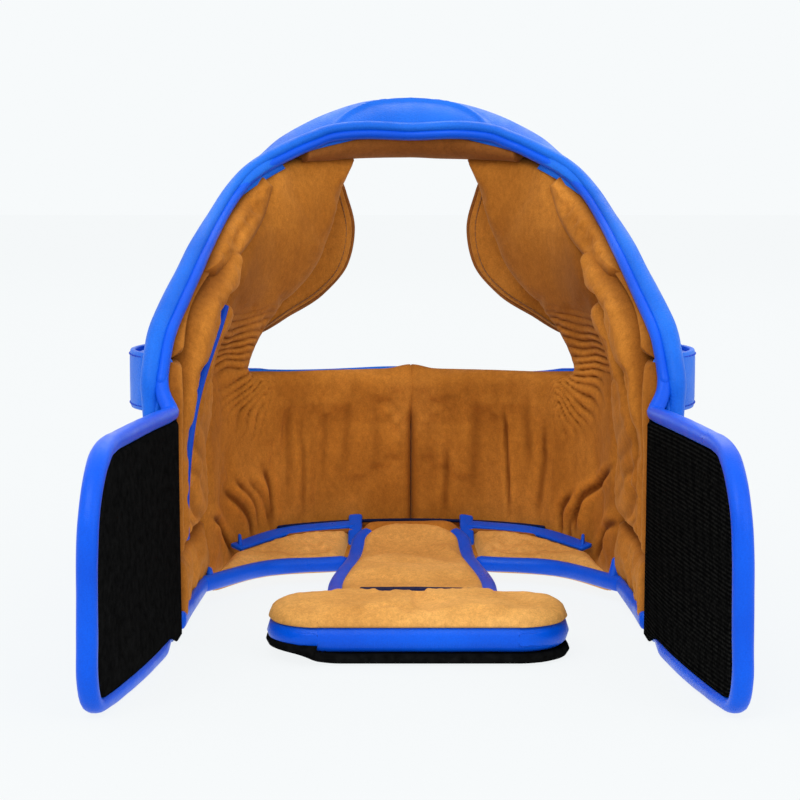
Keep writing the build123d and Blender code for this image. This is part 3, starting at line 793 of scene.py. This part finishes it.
def protector_at(u, v):
    """From under the cheek roll (u 0) to the disc-like edge that stands into the face opening (u 1)."""
    place_on = np.interp(v, PROTECTOR_STATIONS, range(len(PROTECTOR_STATIONS)))
    base, edge = spline(PROTECTOR_BASE, place_on), spline(PROTECTOR_EDGE, place_on)
    dome = 4.0 * np.sin(np.pi * np.clip(u, 0, 1)) * np.sin(np.pi * np.clip(v, 0, 1))
    return base + (edge - base) * u[:, None] + np.stack([0 * dome, dome, 0 * dome], axis=1)


def build_protectors():
    columns, rows = steps(0, 1, 0.035), steps(0, 1, 0.018)
    up = np.linspace(0.04, 0.97, 80)
    for side, name in SIDES:
        shape = pillow(protector_at, columns, rows, -1.0, 6.5, 4.6, 8.0, 3.0, detail=uneven(71 + side, 18, 0.4))
        piece("cheek_protector_" + name, shape, SUEDE)
        shape = pillow(protector_at, columns, rows, 6.6, 17.0, 6.2, 3.0, 12.0, detail=uneven(73, 22, 0.3))
        piece("cheek_protector_cover_" + name, shape, BLUE)
        bead, out = edge_line(protector_at, 0.985, up, 4.9)
        # piping in the darker suede: painted shade along the disc's edge
        piece("cheek_protector_piping_" + name, tube(bead, out, 2.4, 2.4, 8), SUEDE_SHADED)
        line, out = edge_line(protector_at, 0.87, up, -0.15)
        piece("cheek_protector_seam_" + name, stitches(line, out, 2.4, 0.9, 0.7), TAN_THREAD)


# ---- side walls
SLIT_TOP, EAR_PAD_TOP = 3.3, 4.32  # rows of the side wall


def slit_middle(v):
    """Where the ear slit lies along a row: it leans forward as it rises."""
    return 0.82 + 0.55 * smooth(0.8, 3.4, v)


def slit_gap(v):
    return 0.024 + 0.02 * smooth(0.85, 1.3, v) * smooth(3.35, 1.6, v)


def front_pad_edge(v):
    return slit_middle(v) + slit_gap(v)


def rear_pad_edge(v):
    """The rear ear pad's front edge: the slit, and the side wall's front edge above the slit."""
    over = smooth(SLIT_TOP - 0.02, SLIT_TOP + 0.22, v)
    return (slit_middle(v) - slit_gap(v)) * (1 - over) + 1.99 * over


def strip_width(v):
    """The rear strips beside the rim, as a share of the row; the ear pad's top ends in a point."""
    return 0.30 + 0.05 * smooth(1.4, 2.6, v) - 0.05 * smooth(2.6, 3.3, v) + 1.0 * smooth(3.4, 4.6, v)


def ear_pad_stand(u, v):
    """How far the ear pads stand in towards the head."""
    return -(3.2 + 5.8 * smooth(1.0, 3.2, v)) * (0.8 + 0.2 * np.sin(np.pi * np.clip(u, 0, 1)))


def between(low, high):
    """The side surface between two lines that vary from row to row: u is 0 on the first, 1 on the second."""
    def at(u, v):
        first, second = value(low, v), value(high, v)
        return side_at(first + (second - first) * u, v)
    return at


def pulled(seed):
    """Puckers across the foot of the front ear pad."""
    def sewn(points, u, v):
        pull = np.sin(0.5 * points[:, 2] + 0.28 * points[:, 1] + 2.2 * noise(points, 15, seed))
        return 0.6 * pull * smooth(104, 70, points[:, 2]) * smooth(1.0, 0.5, u)
    return sewn


def build_side_pads():
    """Suede pads inside each side wall: two beside the ear slit, and flat strips beside the rim and below."""
    pads = {  # low edge, high edge, first and last row, columns, stand, edge radius, seed, swell
        "ear_pad_front": (front_pad_edge, 1.99, 0.66, 3.42, 0.042, ear_pad_stand, 7.0, 9, 2.5),
        "ear_pad_rear": (strip_width, rear_pad_edge, 0.66, EAR_PAD_TOP, 0.042, ear_pad_stand, 8.0, 12, 2.5),
        "rear_strip": (0.0, strip_width, 2.62, 4.0, 0.08, -2.6, 6.0, 15, 0.0),
        "hinge_strip": (0.0, strip_width, 0.62, 2.6, 0.08, -1.2, 6.0, 18, 0.0),
        "crown_corner_pad": (0.0, 1.99, 0.0, 0.64, 0.026, -3.0, 8.0, 22, 2.5),
    }
    for stem, (low, high, start, stop, column, stand, radius, seed, swell) in pads.items():
        sewn = pulled(seed + 2) if stem == "ear_pad_front" else None
        parts = ("_lining_", "_foam_") if stem.startswith("ear_pad") else ()
        for side, name in SIDES:
            shape = pillow(
                between(low, high), steps(0, 1, column), steps(start, stop, 0.03), stand, 9.0, 6.0, radius, 2.5,
                detail=uneven(seed + 40 * side, 20, 0.55, sewn), swell=swell, shade=0.38,
            )
            piece(f"{stem}_{name}", shape, SUEDE, nodes=[stem + part + name for part in parts])


def build_jaw_pad():
    """The lens-shaped suede roll along the rim, from the ear pad's top to the chin."""
    for side, name in SIDES:
        def sewn(points, u, v, seed=60 + side):
            cross = np.sin(0.55 * points[:, 2] - 0.3 * points[:, 1] + 2.0 * noise(points, 14, seed))
            return 0.35 * cross * smooth(0.4, 1.2, v) * smooth(0.3, 1.0, u)
        shape = pillow(jaw_at, steps(0, 2, 0.09), steps(0, 4, 0.04), -3.0, 7.0, 4.5, 8.0, 2.5,
                       detail=uneven(64 + side, 16, 0.5, sewn), swell=2.0, shade=0.38)
        piece("jaw_pad_" + name, shape, SUEDE)


def build_slit_binding():
    """A narrow leather edge deep in each ear slit, widest at its foot."""
    vs = np.linspace(0.75, SLIT_TOP - 0.02, 90)
    for name, sunk, thick in (("right", 6.5, 1.9), ("left", 2.4, 3.0)):
        depth = ear_pad_stand(0.5, vs) + sunk + 1.0 * smooth(1.2, 3.0, vs)
        path, out = edge_line(side_at, slit_middle(vs), vs, depth)
        shape = tube(path, out, 6.0, thick - 1.4 * smooth(1.0, 2.4, vs), 10)
        # painted shade: the binding lies deep in the slit
        piece("ear_slit_binding_" + name, shape, BLUE_EDGE, tone=DEEP_SHADE)


def side_thickness(u, v):
    """The leather side bulges beyond the rolled rim."""
    return 14.4 + 2.2 * smooth(2.0, 3.0, v) * smooth(0.1, 0.6, u) * smooth(4.9, 4.2, v)


def ear_hole_gap(v):
    """Half the ear hole's width, as a share of the row: zero above and below the hole."""
    rise = np.clip((v - 0.9) / 1.25, 0, 1)
    return 0.012 + 0.11 * np.sin(np.pi * rise) ** 0.7


def build_side_shell():
    """The leather side in two panels that meet at a sewn valley and part round the ear hole."""
    front = (lambda v: slit_middle(v) + ear_hole_gap(v), 2.03)
    rear = (0.0, lambda v: slit_middle(v) - ear_hole_gap(v))
    rows = steps(0, 4.98, 0.035)
    for side, name in SIDES:
        panels = []
        for seed, (low, high) in ((80, rear), (84, front)):
            at = between(low, high)
            share = lambda u, v: value(low, v) + (value(high, v) - value(low, v)) * u
            outer = lambda u, v: side_thickness(share(u, v), v) + 0.6 * noise(at(u, v), 28, seed + side)
            panels.append(pillow(at, steps(0, 1, 0.045), rows, 9.3, outer, 8.2, 3.0, 8.0))
        piece("side_shell_" + name, joined(panels), BLUE)
        lines, ring = [], []
        along, beside = np.linspace(0.25, 4.7, 200), np.linspace(0.88, 2.17, 60)
        for step in (-1, 1):
            us = slit_middle(along) + step * (ear_hole_gap(along) + 0.085)
            lines.append(stitches(*edge_line(side_at, us, along, side_thickness(us, along) - 0.6)))
            us = slit_middle(beside) + step * (ear_hole_gap(beside) - 0.01)
            ring.append(np.stack(edge_line(side_at, us, beside, 9.6))[:, ::-step])
        piece("side_stitching_" + name, joined(lines), THREAD)
        path, out = np.concatenate([ring[0], ring[1]], axis=1)
        piece("ear_hole_binding_" + name, tube(path, out, 5.4, 3.0, 12, closed=True), BLUE_EDGE)


# ---- rolled edge round the neck opening
RIM_WIDE, RIM_DEEP = 5.2, 6.4
ROLL_AT = (60, 104, 112, 132, 147, 162, 176, 189, 200, 208, 216, 218)  # heights
ROLL_WIDE = (8, 8.5, 9, 9.5, 9, 8, 6.5, 6, 6, 6.5, 6, 6)  # how wide the padded leather beside the rim is there
ROLL_FOOT = [(104.5, -80, 30), (105, -80, 60), (106, -80, 88), (107, -78, 104)]  # it runs down beside the hinge
RIM_TUCK, ROLL_TUCK = 0.4, 2.3  # how far the rim sinks into the wall, and the roll under the rim
ROLL_DEEP, ROLL_FORWARD = 9.0, 1.4  # how thick the roll is, and how far it lies forward of the rim


def rim_way_out(path):
    """Out of the wall at each point of the rim: away from the head's axis, and upwards over the chin."""
    return unit(np.stack([path[:, 0], 0 * path[:, 0], path[:, 2] - BODY_CENTRE[2]], axis=1))


def both_ways(half):
    """Evenly spaced points from the left end of a path, over the middle of the chin, to its right end."""
    half = np.array(half, float)
    return resample(np.concatenate([half * [-1, 1, 1], half[-2::-1]]), 2.5)


def build_jaw_rim():
    """One rolled edge from wing to wing over the chin bar, and the padded roll beside it."""
    path = both_ways(RIM_PATH)
    out = rim_way_out(path)
    lumps = 1 + 0.05 * noise(path, 22, 91) + 0.03 * noise(path, 8, 92)
    shape = tube(path + out * (RIM_WIDE / 2 - RIM_TUCK), out, RIM_WIDE * lumps, RIM_DEEP * lumps, 16)
    piece("jaw_rim", shape, BLUE_EDGE, nodes=["jaw_binding_left", "jaw_binding_right"])
    path = both_ways(ROLL_FOOT + RIM_PATH)
    out = rim_way_out(path)
    wide = np.interp(path[:, 2], ROLL_AT, ROLL_WIDE) * (1 + 0.05 * noise(path, 26, 93))
    middle = path + out * (RIM_WIDE - ROLL_TUCK + wide / 2)[:, None] + [0, ROLL_FORWARD, 0]
    piece("rim_roll", tube(middle, out, wide, ROLL_DEEP + 0.5 * noise(path, 18, 94), 22), BLUE)


# ---- chin bar
CHIN_STATIONS = [  # along the bar from the middle outwards: centre of its section, then half sizes
    (0, 120, 224.2, 21, 13.4),
    (22, 117, 223, 20.5, 12.6),
    (42, 106, 219, 18, 9.6),
    (60, 87, 213, 12.3, 5.2),
    (74, 63, 203.8, 6.2, 4.2),
    (87, 43, 192.5, 4, 2.6),
]
CHIN_ENDS, LINED = 5.0, 2.9  # how far along the stations the shell and its suede lining reach
CHIN_LEAN, CHIN_TURN = math.radians(18), 0.207  # radians; the turn is for each station
OVAL_ANGLE, OVAL_HALF_WIDE, OVAL_HALF_HIGH = 2.1, 38.0, 0.75  # embossed panel; the angles are in radians


def chin_centre(u):
    centre = spline(np.array(CHIN_STATIONS, float)[:, :3], np.abs(u))
    return centre * np.stack([np.sign(u), np.ones_like(u), np.ones_like(u)], axis=1)


def chin_at(u, v):
    """The bar's skin: u along it from -5 to 5, v round it in radians, 0 at its front."""
    half = spline(np.pad(np.array(CHIN_STATIONS, float)[:, 3:], ((0, 0), (0, 1))), np.abs(u))
    turn = CHIN_TURN * u
    forward = np.stack([np.sin(turn), np.cos(turn), 0 * turn], axis=1)
    flat, up = half[:, 0] * np.cos(v), half[:, 1] * np.sin(v)
    lean, rise = math.cos(CHIN_LEAN), math.sin(CHIN_LEAN)
    points = chin_centre(u) + forward * (flat * lean - up * rise)[:, None]
    points[:, 2] += flat * rise + up * lean
    return points


def chin_skin(us, vs, thick, height):
    """A closed curved pad on the bar between two angles, with a height that varies over its outer face."""
    u, v = (grid.ravel() for grid in np.meshgrid(us, vs))
    skin = chin_at(u, v)
    inward = unit(chin_centre(u) - skin)
    filled = thick - 2.6 * smooth(2.6, CHIN_ENDS, np.abs(u))
    outer, inner = skin - inward * height(skin, u, v)[:, None], skin + inward * filled[:, None]
    across, down = len(us), len(vs)
    faces, start = [], across * down
    for row, column in itertools.product(range(down - 1), range(across - 1)):
        a = row * across + column
        faces.append([a, a + 1, a + across + 1, a + across])
        faces.append([start + k for k in faces[-1][::-1]])
    border = list(range(across)) + [row * across + across - 1 for row in range(1, down)]
    border += [(down - 1) * across + column for column in range(across - 2, -1, -1)]
    border += [row * across for row in range(down - 2, 0, -1)]
    for here, there in zip(border, border[1:] + border[:1]):
        faces.append([here, start + here, start + there, there])
    return np.concatenate([outer, inner]), faces


def build_chin():
    def embossed(points, u, v):
        """A shallow oval panel on the top of the bar, inside a raised welt."""
        ring = np.sqrt((points[:, 0] / OVAL_HALF_WIDE) ** 2 + ((v - OVAL_ANGLE) / OVAL_HALF_HIGH) ** 2)
        welt = 1.1 * np.exp(-(((ring - 1) / 0.06) ** 2))
        return welt - 0.8 * smooth(1.0, 0.85, ring) + 0.5 * noise(points, 26, 101)

    def crowned(points, u, v):
        """The lining's padded crown between its seams."""
        return 2.4 * np.sin(np.pi * np.clip((v - 2.98) / 2.4, 0, 1)) + 0.5 * noise(points, 16, 103)

    skin = lambda low, high, first, last, turn, height: chin_skin(
        steps(low, high, 0.05), np.radians(steps(first, last, turn)), 5.0, height
    )
    shell = skin(-CHIN_ENDS, CHIN_ENDS, -49, 170, 2.5, embossed)
    piece("chin_shell", shell, BLUE, nodes=["chin_shell", "chin_foam"])
    # lining under the chin bar in the darker suede: painted shade
    piece("chin_lining", skin(-LINED, LINED, 171, 309, 3.0, crowned), SUEDE_SHADED)
    for _, name in SIDES:
        piece("chin_underside_" + name, skin(3.5, CHIN_ENDS, 222, 309, 3.0, crowned), BLUE)
    along = np.linspace(-3.4, 3.4, 240)
    for angle, label in ((-38, "front"), (152, "rear")):
        line = chin_at(along, np.full(len(along), math.radians(angle)))
        out = unit(line - chin_centre(along))
        piece("chin_stitching_" + label, stitches(line + out * 0.3, out), THREAD)


# ---- crown
def small_rolls(side):
    """Rolled ends at the outer corners: points, which way the width runs, width, height, how it narrows."""
    knob = [(95, -8, 9), (96, -5, 14), (96.5, -3, 16 + 2 * side)]
    foot = [(98, -14, 8.5), (99, -30, 8), (101, -55, 6.5), (101.5, -80, 6.5)]
    return {
        "crown_corner_knob_": (knob, (0, 1, 0), 6.0 + side, 5.5 + side, 0.55),
        "crown_front_corner_": ([(83, 38, 14), (84.5, 40, 18), (85, 42, 22)], (0, 1, 0), 5.0, 3.0, 0.55),
        "side_foot_binding_": (foot, (0, 0, 1), 8.0, 4.6, 1),
    }


def build_crown():
    """The two suede crown panels with their edges, and what closes their outer corners."""
    for side, name in SIDES:
        shape = pillow(crown_at, steps(0, 2, 0.03), steps(0, 2, 0.055), -1.2, 9.8, 6.0, 7.0, 5.0,
                       detail=uneven(110 + side, 18, 0.5), swell=2.5)
        nodes = ["crown_panel_" + name, "crown_lining_" + name]
        # crown panels in the lighter suede: painted highlight
        piece("crown_panel_" + name, shape, SUEDE_LIT, nodes=nodes)
        path, out = edge_line(crown_at, np.linspace(-0.03, 2.06, 60), 2.0, 3.2, 2.0, (0, -0.1))
        lumps = 1 + 0.05 * noise(path, 16, 115 + side)
        piece("crown_rear_binding_" + name, tube(path, out, 7.6 * lumps, 7.0), BLUE_EDGE)
        path, out = edge_line(crown_at, np.linspace(0.0, 1.96, 50), 0.0, -0.6, 2.6, (0, 0.1))
        flat = np.cross(out, unit(np.gradient(path, axis=0)))
        piece("crown_front_binding_" + name, tube(path, flat, 7.5, 2.2, square=4), BLUE_EDGE)
        for stem, (points, ups, width, height, end) in small_rolls(side).items():
            path = resample(points, 1.5)
            narrowing = np.linspace(1, end, len(path))
            piece(stem + name, tube(path, ups, width * narrowing, height * narrowing), BLUE_EDGE)


GUSSET_HALF_ANGLE = 46.0


def gusset_at(u, v):
    """The soft web between the forehead's lower edge (v 0) and the crown panels' front edge (v 1)."""
    angle = np.radians(GUSSET_HALF_ANGLE * u)
    y = HEAD_CENTRE_Y + FOREHEAD_REACH * np.cos(angle)
    first = np.stack([HALF_WIDTH * np.sin(angle), y, 21 + 0 * u], axis=1)
    inward = unit(np.stack([-first[:, 0], HEAD_CENTRE_Y - first[:, 1], 0 * u], axis=1))
    points = first + inward * (v * 15 - 2)[:, None]
    points[:, 2] -= 3.5 * np.sin(np.pi * np.clip(v, 0, 1))
    return points


def build_gusset():
    pulls = lambda points, u, v: 0.5 * noise(points, (6, 16, 16), 120)
    shape = pillow(gusset_at, steps(-1, 1, 0.02), steps(0, 1, 0.08), 0.0, 2.6, 1.4, 3.0, 2.0,
                   detail=uneven(121, 14, 0.3, pulls))
    # the sunken web in the darker suede: painted shade
    piece("crown_gusset", shape, SUEDE_SHADED)
    line = np.array([brow_point(angle, 23.0) for angle in np.linspace(-44, 44, 90)])
    inward = unit(line * [-1, -1, 0] + [0, HEAD_CENTRE_Y, 0])
    # near black as painted shade along the forehead's foot
    piece("forehead_foot_piping", tube(line + inward * 3.2 - [0, 0, 1.0], (0, 0, 1), 1.8, 1.8, 8), NAVY)
    path = resample([(28.5, 66, 14), (28.5, 74, 19), (28.5, 81, 22), (28.5, 86, 24)], 1.5)
    for _, name in SIDES:
        piece("crown_tab_" + name, tube(path, (1, 0, 0), 7.0, 2.6, 12, square=4), BLUE_EDGE)


# ---- tongue
TONGUE_TOP_Z = 14.0
TONGUE_FRONT, TONGUE_REAR = 72.0, -81.5
TPAD_HINGE = -83.0


def tongue_half(y):
    """Half the tongue's width: narrow at the crown, flaring towards the T-shaped tab."""
    return 24.5 + 9.0 * smooth(62, -40, y)


def tongue_rise(y):
    """The tongue lies up over the crown's centre pad at its front end."""
    return TONGUE_TOP_Z + 8.0 * smooth(30, 72, y)


def tongue_taper(y):
    """Its front end is rounded."""
    return np.sqrt(np.clip(1 - np.clip((y - 52) / 22, 0, 0.985) ** 2, 0, 1))


def tongue_at(u, v):
    """u across from -1 to 1, v along in millimetres."""
    return np.stack([u * tongue_half(v) * tongue_taper(v), v, tongue_rise(v)], axis=1)


def tongue_blend(made):
    """The tongue is sewn to the crown; its placement is baked into its mesh."""
    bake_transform(made)


def build_tongue():
    shape = pillow(tongue_at, steps(-1, 1, 0.05), steps(TONGUE_REAR, TONGUE_FRONT, 1.8), -1.6, 9.5, 3.4,
                   9.0, 4.0, detail=uneven(130, 20, 0.5), swell=2.0)
    nodes = ["tongue_foam", "tongue_lining"]
    # the tongue in the lighter suede: painted highlight
    tongue_blend(piece("tongue_pad", shape, SUEDE_LIT, body=None, nodes=nodes))
    ys = np.linspace(TONGUE_REAR + 0.5, 67, 70)
    path = np.stack([tongue_half(ys) * tongue_taper(ys) + 1.6, ys, tongue_rise(ys) - 2.6], axis=1)
    for _, name in SIDES:
        shape = tube(path, (1, 0, 0), 7.4, 5.6, square=2.6)
        tongue_blend(piece("tongue_binding_" + name, shape, BLUE_EDGE, body=None))
    shape = tube([(-23, -61, 16.0), (2, -61, 16.3), (27, -61, 16.0)], (0, 1, 0), (10, 8, 5), 1.6, square=4)
    # near black as painted shade at the tongue's foot
    tongue_blend(piece("tongue_foot_strip", shape, NAVY, body=None))
    hump = lambda u, v: np.stack([u * 26 * np.sqrt(1 - 0.55 * v**2), 68 + 9 * v, 17.5 + 0 * u], axis=1)
    shape = pillow(hump, steps(-1, 1, 0.06), steps(-1, 1, 0.12), -7.0, 6.0, 4.0, 7.5, 4.0,
                   detail=uneven(132, 14, 0.3))
    piece("crown_centre_pad", shape, SUEDE)


# ---- T-shaped tab
TPAD_HALF, TPAD_DEEP, TPAD_ASIDE = 63.0, 25.5, 2.0  # half its width and depth; how far its middle lies aside
TPAD_MIDDLE = TPAD_HINGE - 0.4 - TPAD_DEEP


def slot_shaped(height, grow=0.0, curl=0.0):
    """A level surface with straight long sides and rounded ends. u and v run from -1 to 1."""
    half, deep, radius = TPAD_HALF + grow, TPAD_DEEP + grow, TPAD_DEEP + grow - 3.5

    def at(u, v):
        y = deep * v
        past = np.clip(np.abs(y) - (deep - radius), 0, radius * 0.9999)
        width = half - radius + np.sqrt(radius**2 - past**2)
        straight = half - radius
        end = np.clip(np.abs(u) * half - straight, 0, None) * (width - straight) / radius
        x = np.sign(u) * (np.minimum(np.abs(u) * half, straight) + end)
        lift = curl * smooth(0.5, 1.05, -u)
        return np.stack([TPAD_ASIDE + x, TPAD_MIDDLE + y, height + lift], axis=1)

    return at


def build_tpad():
    def puckers(points, u, v):
        waves = np.sin(0.30 * points[:, 0] + 2.4 * noise(points, 26, 140))
        return 0.22 * waves * smooth(0.25, 0.9, np.abs(v))
    us, vs = steps(-1, 1, 0.018), np.sin(np.linspace(-np.pi / 2, np.pi / 2, 56))
    shape = pillow(slot_shaped(20.0, 0.2), us, vs, -1.6, 5.0, 3.6, 9.0, 3.0,
                   detail=uneven(141, 24, 0.5, puckers), swell=2.0)
    # the cushion's top in the lighter suede: painted highlight
    piece("t_pad_cushion", shape, SUEDE_LIT, body="t_pad")
    shape = pillow(slot_shaped(16.6, 0.9), us, vs, 0.0, 12.4, 6.3, 6.2, 6.2)
    piece("t_pad_body", shape, BLUE_EDGE, body="t_pad", slot="blue_leather")
    shape = pillow(slot_shaped(4.4, 1.2, 4.5), us, vs, 0.0, 4.2, 2.2, 2.2, 2.2)
    piece("t_pad_loop", shape, LOOPS, body="t_pad", slot="hook_fastener")


# ---- rear wings
WING_SPLAY = math.radians(6.5)
WING_LENGTH, WING_HEIGHT = 141.0, 102.0
TOP_CORNER, LOW_CORNER = 40.0, 14.0
WING_OUT = np.array([math.cos(WING_SPLAY), math.sin(WING_SPLAY), 0])


def wing_point(s, h):
    """A point on the wing's inner face: s away from the hinge, h up. The soft flap is a little twisted."""
    share, up = np.clip(s / WING_LENGTH, 0, 1), np.clip(h / WING_HEIGHT, 0, 1)
    aside = (17 * (1.6 * share - 0.6 * share**2)) * up + (4 * share + 15 * share**2) * (1 - up)
    return np.stack([HINGE_X + aside, HINGE_Y - s * math.cos(WING_SPLAY), h + 0 * s], axis=1)


def wing_end(h, inset):
    """How far the wing reaches at each height, with its two rounded corners."""
    top, low = TOP_CORNER - inset, LOW_CORNER - inset
    over = np.clip(h - (WING_HEIGHT - TOP_CORNER), 0, top)
    under = np.clip(LOW_CORNER - h, 0, low)
    return WING_LENGTH - inset - (top - np.sqrt(top**2 - over**2)) - (low - np.sqrt(low**2 - under**2))


def wing_at(inset):
    def at(u, v):
        low = inset * smooth(0.04, 0.22, u)  # the patch's lower corner by the hinge reaches the flap's edge
        h = low + v * (WING_HEIGHT - inset - low)
        return wing_point(0.5 + u * (wing_end(h, inset) - 0.5), h)
    return at


def wing_rim_path(inset, start=0.0):
    """Along the wing's lower edge, round its end and back along its top edge."""
    top = WING_HEIGHT - inset
    corners = [(LOW_CORNER, LOW_CORNER, -90, 0), (TOP_CORNER, WING_HEIGHT - TOP_CORNER, 0, 90)]
    spots = [(start, inset), (45, inset), (90, inset)]
    for radius, height, first, last in corners:
        reach, turned = WING_LENGTH - radius, np.radians(np.linspace(first, last, 6))
        radius -= inset
        spots += [(reach + radius * math.cos(a), height + radius * math.sin(a)) for a in turned]
    spots += [(75, top), (45, top), (18, top), (start, top)]
    path = resample(np.pad(np.array(spots, float), ((0, 0), (0, 1))), 2.5)
    return path[:, 0], path[:, 1]


RIM_JOIN = [  # where a wing's edge goes on, up to the rim
    (104.6, -84.2, 99.2), (106.6, -82, 103), (108.6, -79.5, 107.5), (109.2, -76, 113.5), (108.6, -68, 123.5),
]
NEAR_HINGE = 12  # the rolled edge starts this far along the wing's foot
TOE, TAIL = 14, (18, 6)  # points over which it grows at its foot, and between which it narrows at its top
EDGE_DEPTH, SHELL_DEPTH = 3.2, 8.2  # from the wing's inner face, of its rolled edge and its leather


def wing_blend(made):
    """The leather between wall and wing: its placement is baked into its mesh."""
    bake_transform(made)


def build_wings():
    us, vs = steps(0, 1, 0.02), steps(0, 1, 0.025)
    for side, name in SIDES:
        shape = pillow(wing_at(5.4), us, vs, -0.6, 1.7, 0.9, 1.4, 1.0, detail=uneven(150 + side, 26, 0.25))
        wing_blend(piece("wing_patch_" + name, shape, HOOKS if side > 0 else LOOPS, body=None))
        outer = lambda u, v: SHELL_DEPTH + 0.7 * noise(wing_at(4)(u, v), 40, 160 + side)
        shape = pillow(wing_at(4.0), us, vs, 2.2, outer, 2.6, 2.0, 7.0)
        wing_blend(piece("wing_shell_" + name, shape, BLUE, body=None))
        s, h = wing_rim_path(3.4)
        past_hinge = (s >= NEAR_HINGE) | (h >= WING_HEIGHT / 2)
        path = (wing_point(s, h) + WING_OUT * EDGE_DEPTH)[past_hinge]
        path = resample(np.concatenate([path[::6], RIM_JOIN]), 2.5)
        spot = np.arange(len(path))
        toe = np.minimum(spot / TOE + 0.25, 1) * np.interp(spot, [len(path) - back for back in TAIL], [1, 0.7])
        lumps = 1 + 0.04 * noise(path, 24, 170 + side) + 0.02 * noise(path, 8, 171)
        shape = tube(path, WING_OUT, 8.2 * lumps * toe, 6.6 * lumps * toe, 18, square=2.3)
        wing_blend(piece("wing_binding_" + name, shape, BLUE_EDGE, body=None))
        s, h = wing_rim_path(10.0, start=4.0)
        line = wing_point(s, h) + WING_OUT * (SHELL_DEPTH + 0.4)
        piece("wing_stitching_" + name, stitches(line, WING_OUT), THREAD, body="wing_" + name)


# ---- outside of the hinge, and the ear bridge
def build_hinge_covers():
    """Leather that spans the outside of each wing's fold."""
    def at(u, v):
        y = -71.0 - 27.0 * u
        return np.stack([HINGE_X + 12.2 - 1.6 * smooth(-84, -100, y), y, 8 + 86 * v], axis=1)
    for _, name in SIDES:
        shape = pillow(at, steps(0, 1, 0.06), steps(0, 1, 0.05), 0.0, 2.4, 0.4, 1.5, 2.5)
        wing_blend(piece("hinge_cover_" + name, shape, BLUE, body=None))


BRIDGE_PATH = [(112, -68), (120, -60), (125, -48), (125.6, -34), (121.5, -18), (114, -3), (107, 6)]
BRIDGE_HEIGHT, BRIDGE_WIDE, BRIDGE_THICK = 110.0, 26.0, 3.0


def build_ear_bridge():
    """The leather strap over the ear hole."""
    path = resample([(x, y, BRIDGE_HEIGHT) for x, y in BRIDGE_PATH], 1.5)
    up = (0, 0, 1)
    for _, name in SIDES:
        piece("ear_bridge_strap_" + name, tube(path, up, BRIDGE_WIDE, BRIDGE_THICK, 24, square=6), BLUE)
        backing = tube(path - np.array([4.2, 0, 0]), up, BRIDGE_WIDE - 3, 6.6, 16, square=4)
        piece("ear_bridge_backing_" + name, backing, BLUE)
        rows = [stitches(path[2:-2] + [BRIDGE_THICK / 2, 0, height], up) for height in (-11, 11)]
        piece("ear_bridge_stitching_" + name, joined(rows), THREAD)


# ---- floor, light and camera
PALE = (0.93, 0.955, 0.965)
LAMPS = [  # place, target, size and power
    ("key", (-0.7, -1.5, 2.0), (0, 0, 0.1), 1.2, 22.0),
    ("fill", (1.3, -1.3, 1.3), (0, 0, 0.1), 1.4, 9.0),
    ("front", (0.2, 1.8, 1.6), (0, 0, 0.1), 1.6, 8.0),
]


def build_stage():
    size = 6.0
    corners = np.array([(-size, -size, 0), (size, -size, 0), (size, size, 0), (-size, size, 0)])
    floor = bpy.data.objects.new("floor", mesh_of("floor", corners, [(0, 1, 2, 3)]))
    floor.location.z = -0.0005
    bpy.context.scene.collection.objects.link(floor)
    look = Look("pale floor", 0.9, Specular_IOR_Level=0.0, Emission_Strength=0.925,
                Base_Color=(0.055, 0.055, 0.055, 1), Emission_Color=(*PALE, 1))
    floor.data.materials.append(look.material)
    world = bpy.data.worlds.new("studio")
    bpy.context.scene.world = world
    world.use_nodes = True
    background = world.node_tree.nodes["Background"].inputs
    background["Color"].default_value, background["Strength"].default_value = (*PALE, 1), 1.0
    for name, spot, target, width, power in LAMPS:
        light = bpy.data.lights.new(name, "AREA")
        light.size, light.energy = width, power
        lamp = bpy.data.objects.new(name, light)
        lamp.location = spot
        lamp.rotation_euler = (Vector(target) - Vector(spot)).to_track_quat("-Z", "Y").to_euler()
        bpy.context.scene.collection.objects.link(lamp)


def build_camera():
    camera = bpy.data.cameras.new("camera")
    camera.sensor_width, camera.lens = 36.0, 96.1
    view = bpy.data.objects.new("camera", camera)
    view.location = (-0.0056, -1.0 + SHIFT * MM, 0.212)
    view.rotation_euler = (math.radians(90 - 6.7), 0, 0)
    bpy.context.scene.collection.objects.link(view)
    bpy.context.scene.camera = view
    bpy.context.scene.view_settings.view_transform = "Standard"


build_stage()
build_camera()
build_face_lining()
build_face_shell()
build_brow_binding()
build_protectors()
build_side_pads()
build_jaw_pad()
build_slit_binding()
build_side_shell()
build_jaw_rim()
build_chin()
build_crown()
build_gusset()
build_tongue()
build_tpad()
build_wings()
build_hinge_covers()
build_ear_bridge()
